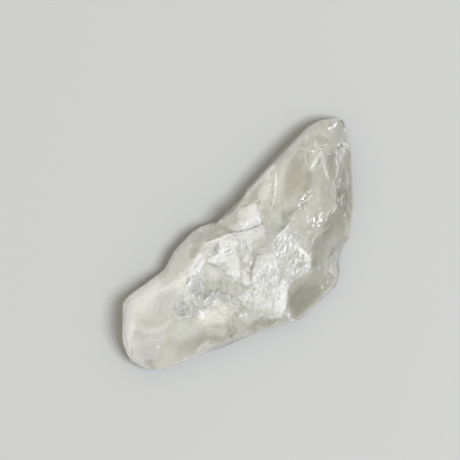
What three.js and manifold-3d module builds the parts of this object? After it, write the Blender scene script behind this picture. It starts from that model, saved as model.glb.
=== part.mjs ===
// A rough shard of clear to milky quartz, lying on its flat broken underside.
// Millimetres, +Z up. X runs along the shard, its thin end at +X. The origin is
// the middle of the bounding box, on the floor.

import * as THREE from 'three';
import { ConvexGeometry } from 'three/addons/geometries/ConvexGeometry.js';
import { mergeVertices } from 'three/addons/utils/BufferGeometryUtils.js';
import Module from 'manifold-3d';

const undercut = 2.3; // how far the underside stands in from the rim
const scarFacet = 1.0; // edge length of the facets inside a scar
const quartzColour = 0xa9a994;
const quartzRoughness = 0.2;

// The shard is a cluster of convex lumps grown into one piece. Each lump is the hull
// of its crown corners, its rim corners, where it is widest, and the rim drawn in
// to the floor. Corners are [x, y, z].
const lumps = {
  bluntBlock: {
    crown: [
      [-17.8, 5.6, 7.9], [-18.9, 5.6, 6.4], [-17.3, 4.3, 8.5], [-15.2, 2.9, 8.9],
      [-13.4, 2.6, 9.0], [-15.2, 7.6, 8.0], [-16.7, 6.6, 8.1], [-17.7, 6.9, 6.6],
      [-13.0, 6.7, 8.7], [-10.8, 6.2, 8.8], [-9.2, 5.1, 9.0], [-9.6, 3.4, 9.1],
      [-16.8, 1.8, 7.4], [-18.4, 0.4, 4.6], [-17.4, -0.5, 3.9], [-14.5, -1.2, 5.0],
      [-12.3, -1.9, 5.6], [-10.0, -0.6, 7.8], [-9.6, 1.2, 8.6], [-15.5, 8.6, 6.2],
      [-13.9, 8.5, 6.2], [-11.3, 7.8, 6.2], [-9.3, 7.1, 6.6], [-14.5, 9.1, 4.2],
      [-11.3, 8.4, 4.2], [-8.3, 5.6, 8.5], [-19.9, 4.2, 5.0], [-19.8, 2.6, 4.6],
      [-19.2, 0.9, 4.0],
    ],
    rim: [
      [-20.5, 3.9, 3.1], [-20.4, 2.4, 2.8], [-19.9, 1.0, 2.6], [-18.95, -0.2, 2.4],
      [-17.8, -0.9, 2.3], [-11.5, -4.1, 2.0], [-15.9, 9.25, 2.6], [-14.7, 9.35, 2.2],
      [-18.2, 7.0, 3.4], [-19.4, 6.0, 3.4], [-11.2, 8.55, 2.0], [-9.0, 8.3, 2.0],
    ],
  },
  bulge: {
    crown: [
      [-9.6, 5.2, 8.8], [-8.2, 5.3, 8.7], [-5.2, 5.9, 8.7], [-3.6, 6.2, 8.5],
      [-2.5, 6.0, 8.5], [0.3, 5.0, 8.7], [-9.1, 7.1, 6.2], [-6.4, 7.5, 7.0],
      [-3.4, 7.6, 6.9], [-1.8, 7.2, 6.7], [-6.8, 8.6, 4.3], [-3.4, 8.7, 4.3],
      [-1.9, 8.2, 4.3], [-0.7, 7.4, 4.4], [-4.5, 4.8, 9.0], [-8.0, 3.4, 9.1],
      [-4.0, 3.4, 9.1],
    ],
    rim: [
      [-9.4, 8.2, 2.0], [-8.2, 8.5, 2.0], [-6.8, 9.05, 2.0], [-3.35, 9.1, 2.0],
      [-1.8, 8.75, 2.0], [-0.4, 7.85, 2.1], [-2.0, -2.0, 3.0], [-8.0, -2.0, 3.0],
    ],
  },
  core: {
    crown: [
      [-9.8, 4.5, 8.8], [-9.6, 7.2, 6.0], [0.3, 5.0, 8.5], [1.4, 6.9, 5.4],
      [4.4, 5.3, 8.0], [4.3, 6.8, 5.6], [5.6, 0.2, 9.7], [7.3, -3.5, 7.9],
      [-4.0, 2.0, 9.1],
    ],
    rim: [
      [-10.2, 8.35, 2.1], [0.4, 7.5, 2.3], [1.8, 7.35, 2.5], [4.6, 7.2, 2.6],
      [6.6, -7.1, 2.1], [-6.0, -6.4, 2.1],
    ],
  },
  saddle: {
    crown: [
      [-9.9, 3.7, 8.9], [-4.7, 4.9, 9.1], [0.3, 4.9, 8.8], [4.0, 3.0, 8.9],
      [3.6, 0.8, 9.4], [2.6, 0.3, 9.7], [-0.2, 0.9, 9.6], [-1.3, 0.2, 9.6],
      [-3.6, -0.7, 9.4], [-5.6, 0.8, 9.1], [-7.1, 0.4, 8.8], [-10.6, 0.8, 8.4],
      [-10.4, -0.8, 7.9], [-8.2, -2.1, 7.6], [-12.3, -1.8, 5.7], [-8.5, -3.8, 5.2],
    ],
    rim: [[-11.5, -4.1, 2.0], [-7.8, -5.6, 2.0], [-2.0, -8.0, 2.2], [2.0, 4.0, 3.0]],
  },
  shoulder: {
    crown: [
      [-3.6, -0.9, 10.0], [-1.2, 0.1, 10.5], [0.3, 0.7, 10.6], [2.6, 0.2, 10.6],
      [5.8, 0.6, 10.1], [6.2, -2.4, 8.9], [4.9, -4.5, 8.2], [3.0, -5.7, 7.8],
      [0.3, -5.0, 8.3], [-2.2, -6.6, 6.8], [-3.0, -7.3, 6.0], [-4.6, -4.3, 7.8],
      [-6.8, -2.3, 7.9], [-7.0, -0.6, 8.7], [-5.5, 0.2, 9.4],
    ],
    rim: [
      [-7.8, -5.6, 2.0], [-6.1, -6.55, 2.0], [-1.9, -8.95, 1.9], [1.0, -8.85, 1.9],
      [4.3, -9.35, 1.9],
    ],
  },
  window: {
    crown: [
      [-2.2, -6.6, 6.8], [0.3, -5.0, 8.3], [3.0, -5.7, 7.8], [4.9, -4.5, 8.2],
      [6.4, -2.9, 8.5], [8.3, -2.6, 8.4], [11.0, -3.1, 7.0], [12.4, -2.0, 6.8],
    ],
    rim: [[-1.9, -8.95, 1.9], [4.3, -9.35, 1.9], [9.8, -6.55, 2.1], [13.45, -3.9, 2.3]],
  },
  blade: {
    crown: [
      [5.8, 0.6, 10.1], [8.0, 1.0, 9.8], [11.2, 1.8, 9.1], [13.0, 3.2, 8.2],
      [15.8, 4.1, 6.9], [9.7, 6.3, 6.8], [12.0, 7.2, 5.4], [16.3, 7.2, 4.6],
      [4.2, 2.4, 9.0], [5.8, 3.5, 8.4], [4.2, 5.6, 7.4], [4.6, 7.0, 5.5],
      [9.0, 7.1, 5.4], [17.2, 2.4, 5.4], [15.3, 0.9, 6.2], [13.3, -0.4, 7.0],
      [12.3, -1.8, 7.0], [10.0, -2.5, 7.9], [8.4, -2.6, 8.4], [6.1, -2.4, 8.9],
      [18.5, 6.6, 4.0], [20.0, 4.8, 3.8], [19.9, 3.8, 3.6],
    ],
    rim: [
      [4.2, 7.2, 2.8], [5.6, 7.5, 2.7], [12.0, 7.5, 2.6], [16.8, 7.35, 2.6],
      [18.4, 6.75, 2.5], [19.85, 5.6, 2.6], [20.5, 4.64, 2.7], [20.05, 3.5, 2.7],
      [18.2, 0.93, 2.5], [13.45, -3.9, 2.3], [9.8, -6.55, 2.1],
    ],
  },
  ledge: {
    crown: [
      [1.0, 4.6, 9.0], [3.8, 3.4, 9.1], [4.8, 4.7, 8.8], [4.2, 6.0, 8.2],
      [1.0, 5.9, 8.2], [1.6, 6.9, 6.9], [3.2, 6.8, 6.9],
    ],
    rim: [[0.8, 7.3, 3.0], [4.2, 7.15, 2.8], [5.0, 0.0, 3.0], [0.0, 0.0, 3.0]],
  },
  sole: {
    crown: [[-10.0, 2.0, 4.0], [8.0, 1.0, 4.0]],
    rim: [
      [-18.4, 4.0, 1.7], [-18.2, 1.6, 1.6], [-15.2, 7.9, 1.9], [-3.2, 7.5, 1.7],
      [9.0, 6.3, 1.5], [17.0, 5.6, 1.5], [18.6, 4.2, 1.5], [16.8, 1.4, 1.4],
      [12.6, -3.2, 1.3], [4.0, -8.0, 1.1], [-1.4, -7.8, 1.1], [-10.8, -3.0, 1.2],
      [-16.6, 0.0, 1.4],
    ],
  },
};

// Round scars, where a flake sprang off: a ball bites `depth` into the surface at `at`.
// facing = [compass angle of the way the face falls, its slope], in degrees. A slope
// over 90 faces down, on the underside.
const scars = [
  { at: [10.9, 4.9, 7.2], facing: [82, 33], radius: 16, depth: 0.55 }, // long smooth face
  { at: [1.0, -7.3, 5.2], facing: [272, 50], radius: 7.5, depth: 0.95 }, // clear window, left
  { at: [8.9, -4.8, 5.3], facing: [294, 50], radius: 8.5, depth: 0.85 }, // clear window, right
  { at: [7.7, -6.5, 3.0], facing: [288, 62], radius: 2.8, depth: 1.25 }, // notch in the rim
  { at: [6.1, -7.4, 3.0], facing: [302, 55], radius: 1.9, depth: 0.65 }, // step beside it
  { at: [-13.8, 0.3, 6.9], facing: [257, 42], radius: 12, depth: 0.5 }, // olive face
  { at: [-18.5, 3.0, 6.4], facing: [222, 45], radius: 12, depth: 0.35 }, // blunt end
  { at: [-9.3, 7.5, 5.9], facing: [78, 58], radius: 5, depth: 0.35 }, // valley
  { at: [-5.4, 7.5, 7.0], facing: [93, 50], radius: 9, depth: 0.3 }, // bulge
  { at: [-0.4, 6.8, 6.2], facing: [80, 60], radius: 3.5, depth: 0.3 }, // dark re-entrant
  { at: [6.8, 6.3, 6.6], facing: [100, 42], radius: 8, depth: 0.35 },
  { at: [10.4, 7.5, 5.0], facing: [88, 60], radius: 1.8, depth: 0.3 },
  { at: [-1.7, 3.7, 9.1], facing: [60, 6], radius: 12, depth: 0.22 }, // white break
  { at: [2.2, 2.9, 9.1], facing: [60, 8], radius: 7, depth: 0.2 },
  { at: [9.3, -0.7, 9.2], facing: [280, 18], radius: 12, depth: 0.3 }, // second face
  { at: [9.3, -1.9, 8.5], facing: [280, 22], radius: 1.0, depth: 0.2 },
  { at: [15.6, 0.0, 5.1], facing: [310, 58], radius: 5, depth: 0.45 }, // dark side band
  { at: [13.4, -1.3, 6.4], facing: [310, 50], radius: 1.4, depth: 0.45 },
  { at: [17.4, 2.5, 5.3], facing: [300, 45], radius: 0.6, depth: 0.3 }, // tip pits
  { at: [18.0, 2.4, 5.0], facing: [300, 45], radius: 0.6, depth: 0.3 },
  { at: [-8.7, 2.7, 9.0], facing: [20, 14], radius: 5.5, depth: 0.25 }, // rough hollow
  { at: [-7.0, 1.5, 9.0], facing: [250, 16], radius: 4.6, depth: 0.22 },
  { at: [-11.2, 2.5, 8.9], facing: [330, 16], radius: 3.6, depth: 0.18 },
  { at: [-9.9, 1.7, 8.8], facing: [150, 16], radius: 3.2, depth: 0.16 },
  { at: [-5.8, 2.6, 9.1], facing: [200, 10], radius: 5.5, depth: 0.28 },
  { at: [-9.9, 0.3, 8.3], facing: [215, 34], radius: 3.4, depth: 0.18 },
  { at: [-8.4, -0.9, 8.1], facing: [240, 28], radius: 5.5, depth: 0.25 },
  { at: [-11.2, -2.3, 6.2], facing: [238, 50], radius: 4, depth: 0.3 }, // lower edge
  { at: [-5.0, -5.8, 5.0], facing: [243, 55], radius: 9, depth: 0.45 },
  { at: [-12.0, 7.6, 1.2], facing: [80, 140], radius: 6, depth: 0.4 }, // underside
  { at: [-18.6, 3.0, 1.2], facing: [190, 140], radius: 7, depth: 0.35 },
  { at: [-3.0, -6.8, 0.8], facing: [240, 145], radius: 7, depth: 0.4 },
  { at: [9.0, 6.2, 1.2], facing: [92, 140], radius: 8, depth: 0.4 },
  { at: [15.6, 0.8, 1.0], facing: [310, 145], radius: 6, depth: 0.35 },
];

// Long narrow scars: half-lengths along, across and down, turned on the floor plane.
const longScars = [
  { at: [3.8, -3.7, 8.6], halves: [1.7, 0.95, 0.9], turn: 50, depth: 0.45 }, // glinting pit
  { at: [-0.9, 0.6, 9.8], halves: [1.5, 0.35, 0.8], turn: 22, depth: 0.5 }, // crevice
  { at: [-0.1, 5.9, 8.0], halves: [1.1, 0.25, 0.9], turn: -62, depth: 0.5 }, // crack
  { at: [7.7, 4.9, 7.7], halves: [2.4, 0.2, 0.5], turn: 35, depth: 0.2 }, // hairline break
];

// A row of small nicks along the main ridge, and grooves down the frosted shoulder.
const nicks = { from: [8.3, 1.2, 9.75], to: [10.6, 1.6, 9.15], count: 5, radius: 0.5, depth: 0.2 };
const grooves = {
  from: [-3.1, -5.2, 7.6], to: [0.2, -3.7, 8.85], count: 5,
  halves: [1.9, 0.16, 0.4], turn: 43, depth: 0.12,
};

const manifold = await Module();
manifold.setup();

const radians = THREE.MathUtils.degToRad;

// A closed three.js shape as a solid that can be joined and cut.
function toSolid(geometry) {
  geometry.deleteAttribute('normal');
  geometry.deleteAttribute('uv');
  const merged = mergeVertices(geometry);
  return new manifold.Manifold(new manifold.Mesh({
    numProp: 3,
    vertProperties: new Float32Array(merged.attributes.position.array),
    triVerts: new Uint32Array(merged.index.array),
  }));
}

function toGeometry(solid) {
  const mesh = solid.getMesh();
  const geometry = new THREE.BufferGeometry();
  geometry.setAttribute('position', new THREE.BufferAttribute(mesh.vertProperties, 3));
  geometry.setIndex(new THREE.BufferAttribute(mesh.triVerts, 1));
  geometry.computeVertexNormals();
  return geometry;
}

// The rim drawn in towards the lump's middle, on the floor.
function footOf({ crown, rim }) {
  const corners = [...crown, ...rim];
  const middleX = corners.reduce((sum, [x]) => sum + x, 0) / corners.length;
  const middleY = corners.reduce((sum, [, y]) => sum + y, 0) / corners.length;
  return rim.map(([x, y]) => {
    const reach = Math.hypot(x - middleX, y - middleY);
    const share = Math.max(0.1, (reach - undercut) / reach);
    return [middleX + (x - middleX) * share, middleY + (y - middleY) * share, 0];
  });
}

function lumpSolid(lump) {
  const corners = [...lump.crown, ...lump.rim, ...footOf(lump)];
  return toSolid(new ConvexGeometry(corners.map((corner) => new THREE.Vector3(...corner))));
}

// A faceted ball whose facets are about scarFacet long.
function ball(radius) {
  const detail = Math.max(2, Math.round(radius / scarFacet));
  return new THREE.IcosahedronGeometry(radius, detail);
}

function scarSolid({ at, facing, radius, depth }) {
  const [compass, slope] = facing.map(radians);
  const outward = new THREE.Vector3(
    Math.sin(slope) * Math.cos(compass),
    Math.sin(slope) * Math.sin(compass),
    Math.cos(slope),
  );
  const centre = new THREE.Vector3(...at).addScaledVector(outward, radius - depth);
  return toSolid(ball(radius).translate(centre.x, centre.y, centre.z));
}

function longScarSolid({ at: [x, y, z], halves, turn, depth }) {
  const shape = new THREE.IcosahedronGeometry(1, 4);
  shape.scale(...halves);
  shape.rotateZ(radians(turn));
  return toSolid(shape.translate(x, y, z + halves[2] - depth));
}

// `count` points spaced evenly from one corner to another.
function spaced({ from, to, count }) {
  const start = new THREE.Vector3(...from);
  const end = new THREE.Vector3(...to);
  return Array.from({ length: count }, (_, i) => start.clone().lerp(end, i / (count - 1)).toArray());
}

let quartz = Object.values(lumps).map(lumpSolid).reduce((joined, lump) => joined.add(lump));
for (const scar of scars) {
  quartz = quartz.subtract(scarSolid(scar));
}
for (const scar of longScars) {
  quartz = quartz.subtract(longScarSolid(scar));
}
for (const at of spaced(nicks)) {
  quartz = quartz.subtract(scarSolid({ ...nicks, at, facing: [0, 0] }));
}
for (const at of spaced(grooves)) {
  quartz = quartz.subtract(longScarSolid({ ...grooves, at }));
}

const crystal = new THREE.Mesh(
  toGeometry(quartz),
  new THREE.MeshStandardMaterial({ color: quartzColour, roughness: quartzRoughness, metalness: 0 }),
);
crystal.name = 'quartz_crystal';

const shard = new THREE.Group();
shard.add(crystal);

export default shard;
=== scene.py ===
import itertools
import math

import bpy
import numpy as np
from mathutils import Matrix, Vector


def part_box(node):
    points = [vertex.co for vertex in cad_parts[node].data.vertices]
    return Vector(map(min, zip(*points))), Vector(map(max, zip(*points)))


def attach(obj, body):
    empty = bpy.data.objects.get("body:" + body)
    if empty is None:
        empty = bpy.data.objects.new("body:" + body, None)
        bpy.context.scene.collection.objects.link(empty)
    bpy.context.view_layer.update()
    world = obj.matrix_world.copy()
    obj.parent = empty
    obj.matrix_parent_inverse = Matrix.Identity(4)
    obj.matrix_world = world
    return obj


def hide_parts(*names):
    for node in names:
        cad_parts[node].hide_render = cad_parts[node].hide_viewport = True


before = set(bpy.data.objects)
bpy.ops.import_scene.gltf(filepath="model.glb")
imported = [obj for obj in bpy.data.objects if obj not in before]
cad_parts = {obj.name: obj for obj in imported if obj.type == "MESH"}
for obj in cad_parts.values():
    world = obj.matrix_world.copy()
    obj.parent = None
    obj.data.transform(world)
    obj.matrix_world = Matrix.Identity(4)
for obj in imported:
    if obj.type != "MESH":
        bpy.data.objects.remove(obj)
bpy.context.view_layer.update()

mm = 0.001
cellShift = 1000   # added to every place on a noise lattice, so that cells are counted from above 0
seeds = {"borders": 3, "swell": 21, "grooves": 51, "grain": 61, "faces": 71, "mottle": 81, "fineMottle": 82,
         "hair": 91, "fineHair": 92, "patches": 121, "strokes": 131}
print("stage: frame loaded")


# sums used by every surface

def ease(value, low, high):
    # 0 below low, 1 above high, and the smooth cubic 3t^2 - 2t^3 between
    t = np.clip((value - low) / (high - low), 0, 1)
    return t * t * (3 - 2 * t)


def mix(a, b, share):
    # a where the share is 0, b where it is 1
    return a + (b - a) * share


def scramble(cell, seed):
    # -1 to 1 for each lattice cell, always the same for the same cell and seed: large odd numbers stir
    # the cell's three numbers and the seed together, and the last 16 bits are scaled
    key = cell @ np.array([73856093, 19349663, 83492791]) + seed * 2654435761
    key = (key ^ key >> 13) * 1274126177 & 0x7fffffff
    key = (key ^ key >> 11) * 374761393 & 0x7fffffff
    return (key ^ key >> 16) % 65536 / 32768 - 1


def lattice(points, size, seed):
    # value noise, -1 to 1: random heights on a cubic lattice of that size, eased between its corners
    place = points / size + cellShift
    cell = np.floor(place).astype(np.int64)
    part = place - cell
    part = part * part * (3 - 2 * part)
    total = np.zeros(len(points))
    for corner in itertools.product((0, 1), repeat=3):
        weight = np.prod(np.where(np.array(corner) == 1, part, 1 - part), axis=1)
        total += scramble(cell + corner, seed) * weight
    return total


def fractal(points, size, seed, octaves=4):
    # lattice noise added up, each octave half as large and half as strong
    return sum(lattice(points, size / 2 ** n, seed + n) / 2 ** n for n in range(octaves))


def brokenFaces(points, size, seed):
    # about -1 to 1: every cell of a jittered lattice carries a plane, rise + lean . away - sink * away^2;
    # the highest plane over a point wins, so that small faces meet in creases
    jitterShare, rise, lean, sink = 0.45, 0.3, 1.1, 0.8
    place = points / size + cellShift
    cell = np.floor(place).astype(np.int64)
    best = np.full(len(points), -np.inf)
    for offset in itertools.product((-1, 0, 1), repeat=3):
        near = cell + offset
        jitter = np.stack([scramble(near, seed + n) for n in range(3)], axis=1)
        tilt = np.stack([scramble(near, seed + 10 + n) for n in range(3)], axis=1)
        away = place - near - 0.5 - jitter * jitterShare
        height = scramble(near, seed + 20) * rise + (tilt * away).sum(1) * lean
        best = np.maximum(best, height - (away ** 2).sum(1) * sink)
    return best


def insideBy(x, y, corners):
    # how far a point lies inside a closed outline, negative outside: the nearest edge's distance,
    # with its sign from the number of edges that a ray crosses
    nearest = np.full(len(x), np.inf)
    crossings = np.zeros(len(x), int)
    for (ax, ay), (bx, by) in zip(corners, corners[1:] + corners[:1]):
        ex, ey = bx - ax, by - ay
        along = np.clip(((x - ax) * ex + (y - ay) * ey) / (ex * ex + ey * ey), 0, 1)
        nearest = np.minimum(nearest, np.hypot(x - ax - along * ex, y - ay - along * ey))
        if ey != 0:
            crossings += ((ay > y) != (by > y)) & (x < ax + (y - ay) * ex / ey)
    return np.where(crossings % 2 == 1, nearest, -nearest)


def facingVector(compass, slope):
    # the way a face points: sin(slope) round the compass from +X, cos(slope) upwards
    a, s = math.radians(compass), math.radians(slope)
    return np.array([math.sin(s) * math.cos(a), math.sin(s) * math.sin(a), math.cos(s)])


def tone(red, green, blue):
    # a screen colour, 0 to 255, as the linear colour that a shader takes
    return ((np.array([red, green, blue]) / 255 + 0.055) / 1.055) ** 2.4


# the shard's surface

skin = {
    "stations": 400,       # slices along the shard
    "topRows": 204,        # points across the upper side of a slice
    "underRows": 40,       # points across the underside
    "samples": 480,        # points across a slice before the rows are spread along it
    "heightShare": 0.6,    # how much a height counts against a width in that spreading
    "crowding": 0.25,      # share of the slices drawn towards the two ends
    "softening": 2,        # passes that round the broken edges
    "wornPasses": 30,      # more passes on the worn places
    "wornCore": 0.6,       # share of a worn place's reach that is worn in full
    # worn places: x and y (mm), reach (mm), share
    "worn": [(-17.5, 1.5, 9.5, 1.0), (-5.0, 8.0, 4.5, 1.0), (-8.8, 3.0, 3.6, 0.5),
             (-7.3, 4.2, 2.2, 1.0)],
    "broadPasses": 90,     # passes after which only the broad faces are left, for the painting
    "restHeight": 0.25,    # mm above the floor where the fine relief starts
}

# round scars: place (mm), compass and slope of the face, ball radius, depth
flakes = [
    (10.9, 4.9, 7.2, 82, 33, 16, 0.55), (1.0, -7.3, 5.2, 272, 50, 7.5, 0.95),
    (8.9, -4.8, 5.3, 294, 50, 8.5, 0.85), (7.7, -6.5, 3.0, 288, 62, 2.8, 1.25),
    (6.1, -7.4, 3.0, 302, 55, 1.9, 0.65), (-13.8, 0.3, 6.9, 257, 42, 12, 0.5),
    (-18.5, 3.0, 6.4, 222, 45, 12, 0.35), (-9.3, 7.5, 5.9, 78, 58, 5, 0.35),
    (-5.4, 7.5, 7.0, 93, 50, 9, 0.3), (-0.4, 6.8, 6.2, 80, 60, 3.5, 0.3),
    (6.8, 6.3, 6.6, 100, 42, 8, 0.35), (-1.7, 3.7, 9.1, 60, 6, 12, 0.22),
    (2.2, 2.9, 9.1, 60, 8, 7, 0.2), (9.3, -0.7, 9.2, 280, 18, 12, 0.3),
    (15.6, 0.0, 5.1, 310, 58, 5, 0.45), (-8.7, 2.7, 9.0, 20, 14, 5.5, 0.25),
    (-7.0, 1.5, 9.0, 250, 16, 4.6, 0.22), (-11.2, 2.5, 8.9, 330, 16, 3.6, 0.18),
    (-9.9, 1.7, 8.8, 150, 16, 3.2, 0.16), (-5.8, 2.6, 9.1, 200, 10, 5.5, 0.28),
    (-9.9, 0.3, 8.3, 215, 34, 3.4, 0.18), (-8.4, -0.9, 8.1, 240, 28, 5.5, 0.25),
    (-11.2, -2.3, 6.2, 238, 50, 4, 0.3), (-5.0, -5.8, 5.0, 243, 55, 9, 0.45),
]


def sliceSheets(node, stations, count):
    # cuts the solid at each station x: every triangle that the plane crosses gives a segment in y and z;
    # the upper sheet is the highest segment over each y, the lower sheet the lowest; the samples crowd
    # towards both rims
    mesh = node.data
    mesh.calc_loop_triangles()
    verts = np.empty(len(mesh.vertices) * 3)
    mesh.vertices.foreach_get("co", verts)
    verts = verts.reshape(-1, 3) / mm
    faces = np.empty(len(mesh.loop_triangles) * 3, int)
    mesh.loop_triangles.foreach_get("vertices", faces)
    corners = verts[faces.reshape(-1, 3)]
    t = np.sin(np.linspace(1, -1, count) * math.pi / 2)
    sheets = []
    for x in stations:
        side = corners[:, :, 0] > x
        tri = corners[side.any(1) & ~side.all(1)]
        over = tri[:, :, 0] > x
        lone = np.where(over.sum(1) == 1, over.argmax(1), (~over).argmax(1))
        pick = np.arange(len(tri))
        start = tri[pick, lone]
        ends = []
        for other in (1, 2):
            end = tri[pick, (lone + other) % 3]
            share = (x - start[:, 0]) / (end[:, 0] - start[:, 0])
            ends.append(start[:, 1:] + (end[:, 1:] - start[:, 1:]) * share[:, None])
        a, b = ends
        low, high = min(a[:, 0].min(), b[:, 0].min()), max(a[:, 0].max(), b[:, 0].max())
        y = (high + low) / 2 + t * (high - low) / 2
        inner = np.clip(y, low + 1e-4, high - 1e-4)[:, None]
        width = b[:, 0] - a[:, 0]
        share = (inner - a[:, 0]) / np.where(np.abs(width) < 1e-7, 1e-7, width)
        z = a[:, 1] + share * (b[:, 1] - a[:, 1])
        hit = (share >= 0) & (share <= 1)
        sheets.append(np.stack([np.full(count, x), y, np.where(hit, z, -1e9).max(1),
                                np.where(hit, z, 1e9).min(1)], axis=1))
    return np.moveaxis(np.array(sheets), 2, 0)


def cutFlake(x, y, z, flake):
    # lowers the sheet to the underside of a ball wherever the ball reaches into it
    fx, fy, fz, compass, slope, radius, depth = flake
    cx, cy, cz = np.array([fx, fy, fz]) + facingVector(compass, slope) * (radius - depth)
    room = radius ** 2 - (x - cx) ** 2 - (y - cy) ** 2
    drop = np.sqrt(np.maximum(room, 0))
    bites = (room > 0) & (cz - drop < z) & (cz + drop > z)
    return np.where(bites, cz - drop, z)


def evenRows(sheet, rows):
    # spreads the rows of each slice along its own length, heights counting for less, so that steep
    # sides keep their detail and the flat top keeps more
    out = []
    for profile in sheet:
        step = np.diff(profile, axis=0)
        length = np.concatenate([[0], np.cumsum(np.hypot(step[:, 1], step[:, 2] * skin["heightShare"]))])
        at = np.linspace(0, length[-1], rows)
        out.append(np.stack([np.interp(at, length, profile[:, n]) for n in range(3)], axis=1))
    return np.array(out)


def makeRing():
    # a closed tube: u runs along the stations, v goes across the top from the +Y rim to the
    # -Y rim and back underneath
    low, high = (np.array(corner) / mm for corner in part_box("quartz_crystal"))
    t = np.linspace(-1, 1, skin["stations"] + 2)[1:-1]
    t = mix(t, np.sin(t * math.pi / 2), skin["crowding"])
    stations = (low[0] + high[0]) / 2 + t * (high[0] - low[0]) / 2
    x, y, top, bottom = sliceSheets(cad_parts["quartz_crystal"], stations, skin["samples"])
    for flake in flakes:
        top = np.maximum(cutFlake(x, y, top, flake), bottom)
    upper = evenRows(np.stack([x, y, top], axis=2), skin["topRows"])
    lower = evenRows(np.stack([x, y, bottom], axis=2)[:, ::-1], skin["underRows"] + 2)[:, 1:-1]
    return np.concatenate([upper, lower], axis=1), low, high


def soften(ring, passes, share):
    # each point moves up to halfway to the mean of its four neighbours, which rounds edges by a grid step
    for _ in range(passes):
        mean = (np.roll(ring, 1, 1) + np.roll(ring, -1, 1)) / 4
        mean[1:-1] += (ring[2:] + ring[:-2]) / 4
        mean[0] += ring[1] / 4 + ring[0] / 4
        mean[-1] += ring[-2] / 4 + ring[-1] / 4
        ring = mix(ring, mean, 0.5 * share)
    return ring


def gridNormals(ring):
    # the cross product of the grid's two directions, outwards
    along = np.gradient(ring, axis=0)
    across = (np.roll(ring, -1, 1) - np.roll(ring, 1, 1)) / 2
    normal = np.cross(across, along)
    return normal / np.maximum(np.linalg.norm(normal, axis=2, keepdims=True), 1e-9)


ring, lowCorner, highCorner = makeRing()
ring = soften(ring, skin["softening"], 1)
worn = sum(share * ease(np.hypot(ring[:, :, :1] - x, ring[:, :, 1:2] - y), reach, reach * skin["wornCore"])
           for x, y, reach, share in skin["worn"])
ring = soften(ring, skin["wornPasses"], np.minimum(worn, 1))
print("stage: slices", ring.shape)

# finishes, seen from above; sizes in mm, places on the photograph in its pixels

# the palette; bright serves mostly for painted glints and highlights
tones = {
    "white": tone(227, 227, 222), "bright": tone(252, 252, 249), "frost": tone(213, 214, 208),
    "pale": tone(207, 207, 199), "cream": tone(215, 215, 205), "khakiPale": tone(202, 202, 191),
    "khaki": tone(195, 194, 183), "olive": tone(187, 187, 176), "green": tone(194, 195, 186),
    "greenPale": tone(208, 209, 200), "greenGrey": tone(181, 182, 173), "deepOlive": tone(170, 170, 157),
    "leaf": tone(192, 192, 180), "brown": tone(182, 180, 168), "mauvePale": tone(206, 206, 200),
    "mauve": tone(193, 192, 188), "mauveDark": tone(180, 179, 174), "grey": tone(188, 188, 182),
    "deepGrey": tone(172, 171, 165), "dark": tone(159, 158, 146), "black": tone(90, 84, 74),
}
bodyFinish = {"tone": "olive", "milk": 0.5, "frost": 0.12, "mottle": 0.05, "flecks": 0.15, "hair": 0.4}
paintwork = {
    "clearTone": (0.14, 0.14, 0.12),   # what shows through clear quartz where the milk leaves room for it
    "undersideMilk": 0.08, "brightest": 0.97, "darkest": 0.02,
    "mottleSize": 0.6, "grainSize": 0.22,   # mm, the coarse and the fine unevenness of colour
    "coarseShare": 0.4, "hairFineness": 0.8,
    "grooveLength": 6, "fineGrooveLength": 3,   # how many times longer than wide the drawn-out ones are
    "ragged": 0.25, "raggedSize": 1.1,             # mm, how far and how finely the borders wander
    "strokeRagged": 0.05, "strokeRaggedSize": 0.6,
    "topFacing": (-0.8, -0.4),   # upward parts of the normals between which the underside's finish ends
    "patchSize": 0.4, "patchMean": 0.75, "patchSwing": 0.35, "patchLeast": 0.4,   # worn gaps in the strokes
}
keyFrom = {"compass": -62, "height": 71}   # the key light: degrees round from +X, and above the floor
# painted light: how far the tone of faces turned from the key light is raised
paintedEvenLight = {
    "evenness": 0.7,          # how far the painted light evens out the faces, standing in for light through the body
    "keyShare": 0.6,          # share of the light on a level face that comes from the key light
    "level": 0.85, "darkest": 0.35,
}


photograph = {   # how its pixel places, counted from the top left corner, lie on the part
    "pixel": 0.1275,          # mm across a pixel, from the weave of the linen
    "strokePixel": 0.116,     # mm of width for a pixel of a stroke's, so that it is drawn finer
    "middle": (260, 261.4),   # the pixel place over the part's origin
    "turn": 47,               # degrees from the photograph's right side, upwards, to the part's +X
    "cornerDigits": 1, "strokeDigits": 2,   # decimals of a mm that an area's and a stroke's places keep
}


def onPart(place, digits):
    # the place in mm on the part, seen from above, of a pixel place of the photograph
    right, up = place[0] - photograph["middle"][0], photograph["middle"][1] - place[1]
    turn = math.radians(photograph["turn"])
    x = (right * math.cos(turn) + up * math.sin(turn)) * photograph["pixel"]
    y = (up * math.cos(turn) - right * math.sin(turn)) * photograph["pixel"]
    return round(x, digits), round(y, digits)


def area(tone, milk, frost, soft, light, corners, **more):
    # tone * light = colour of the quartz there, light being a painted light and shade factor; milk = how
    # far it hides what is behind it; frost = roughness; soft = width of the border. Also drop = how far the
    # area is sunk; rough = height of its small broken faces; grooves and grain = share of those reliefs;
    # mottle = unevenness of its colour; flecks = bright and dark specks, the bright ones painted sparkle;
    # hair = how far both are drawn out along the grooves. The corners are pixel places of the photograph
    corners = [onPart(place, photograph["cornerDigits"]) for place in corners]
    return dict(tone=tone, milk=milk, frost=frost, soft=soft, light=light, corners=corners, **more)


# each area's light is painted light and shade on its tone: above 1 it brightens faces turned from the key
# light, as on the bevel and the end rim, below 1 it darkens faces that catch more light than wanted
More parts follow.
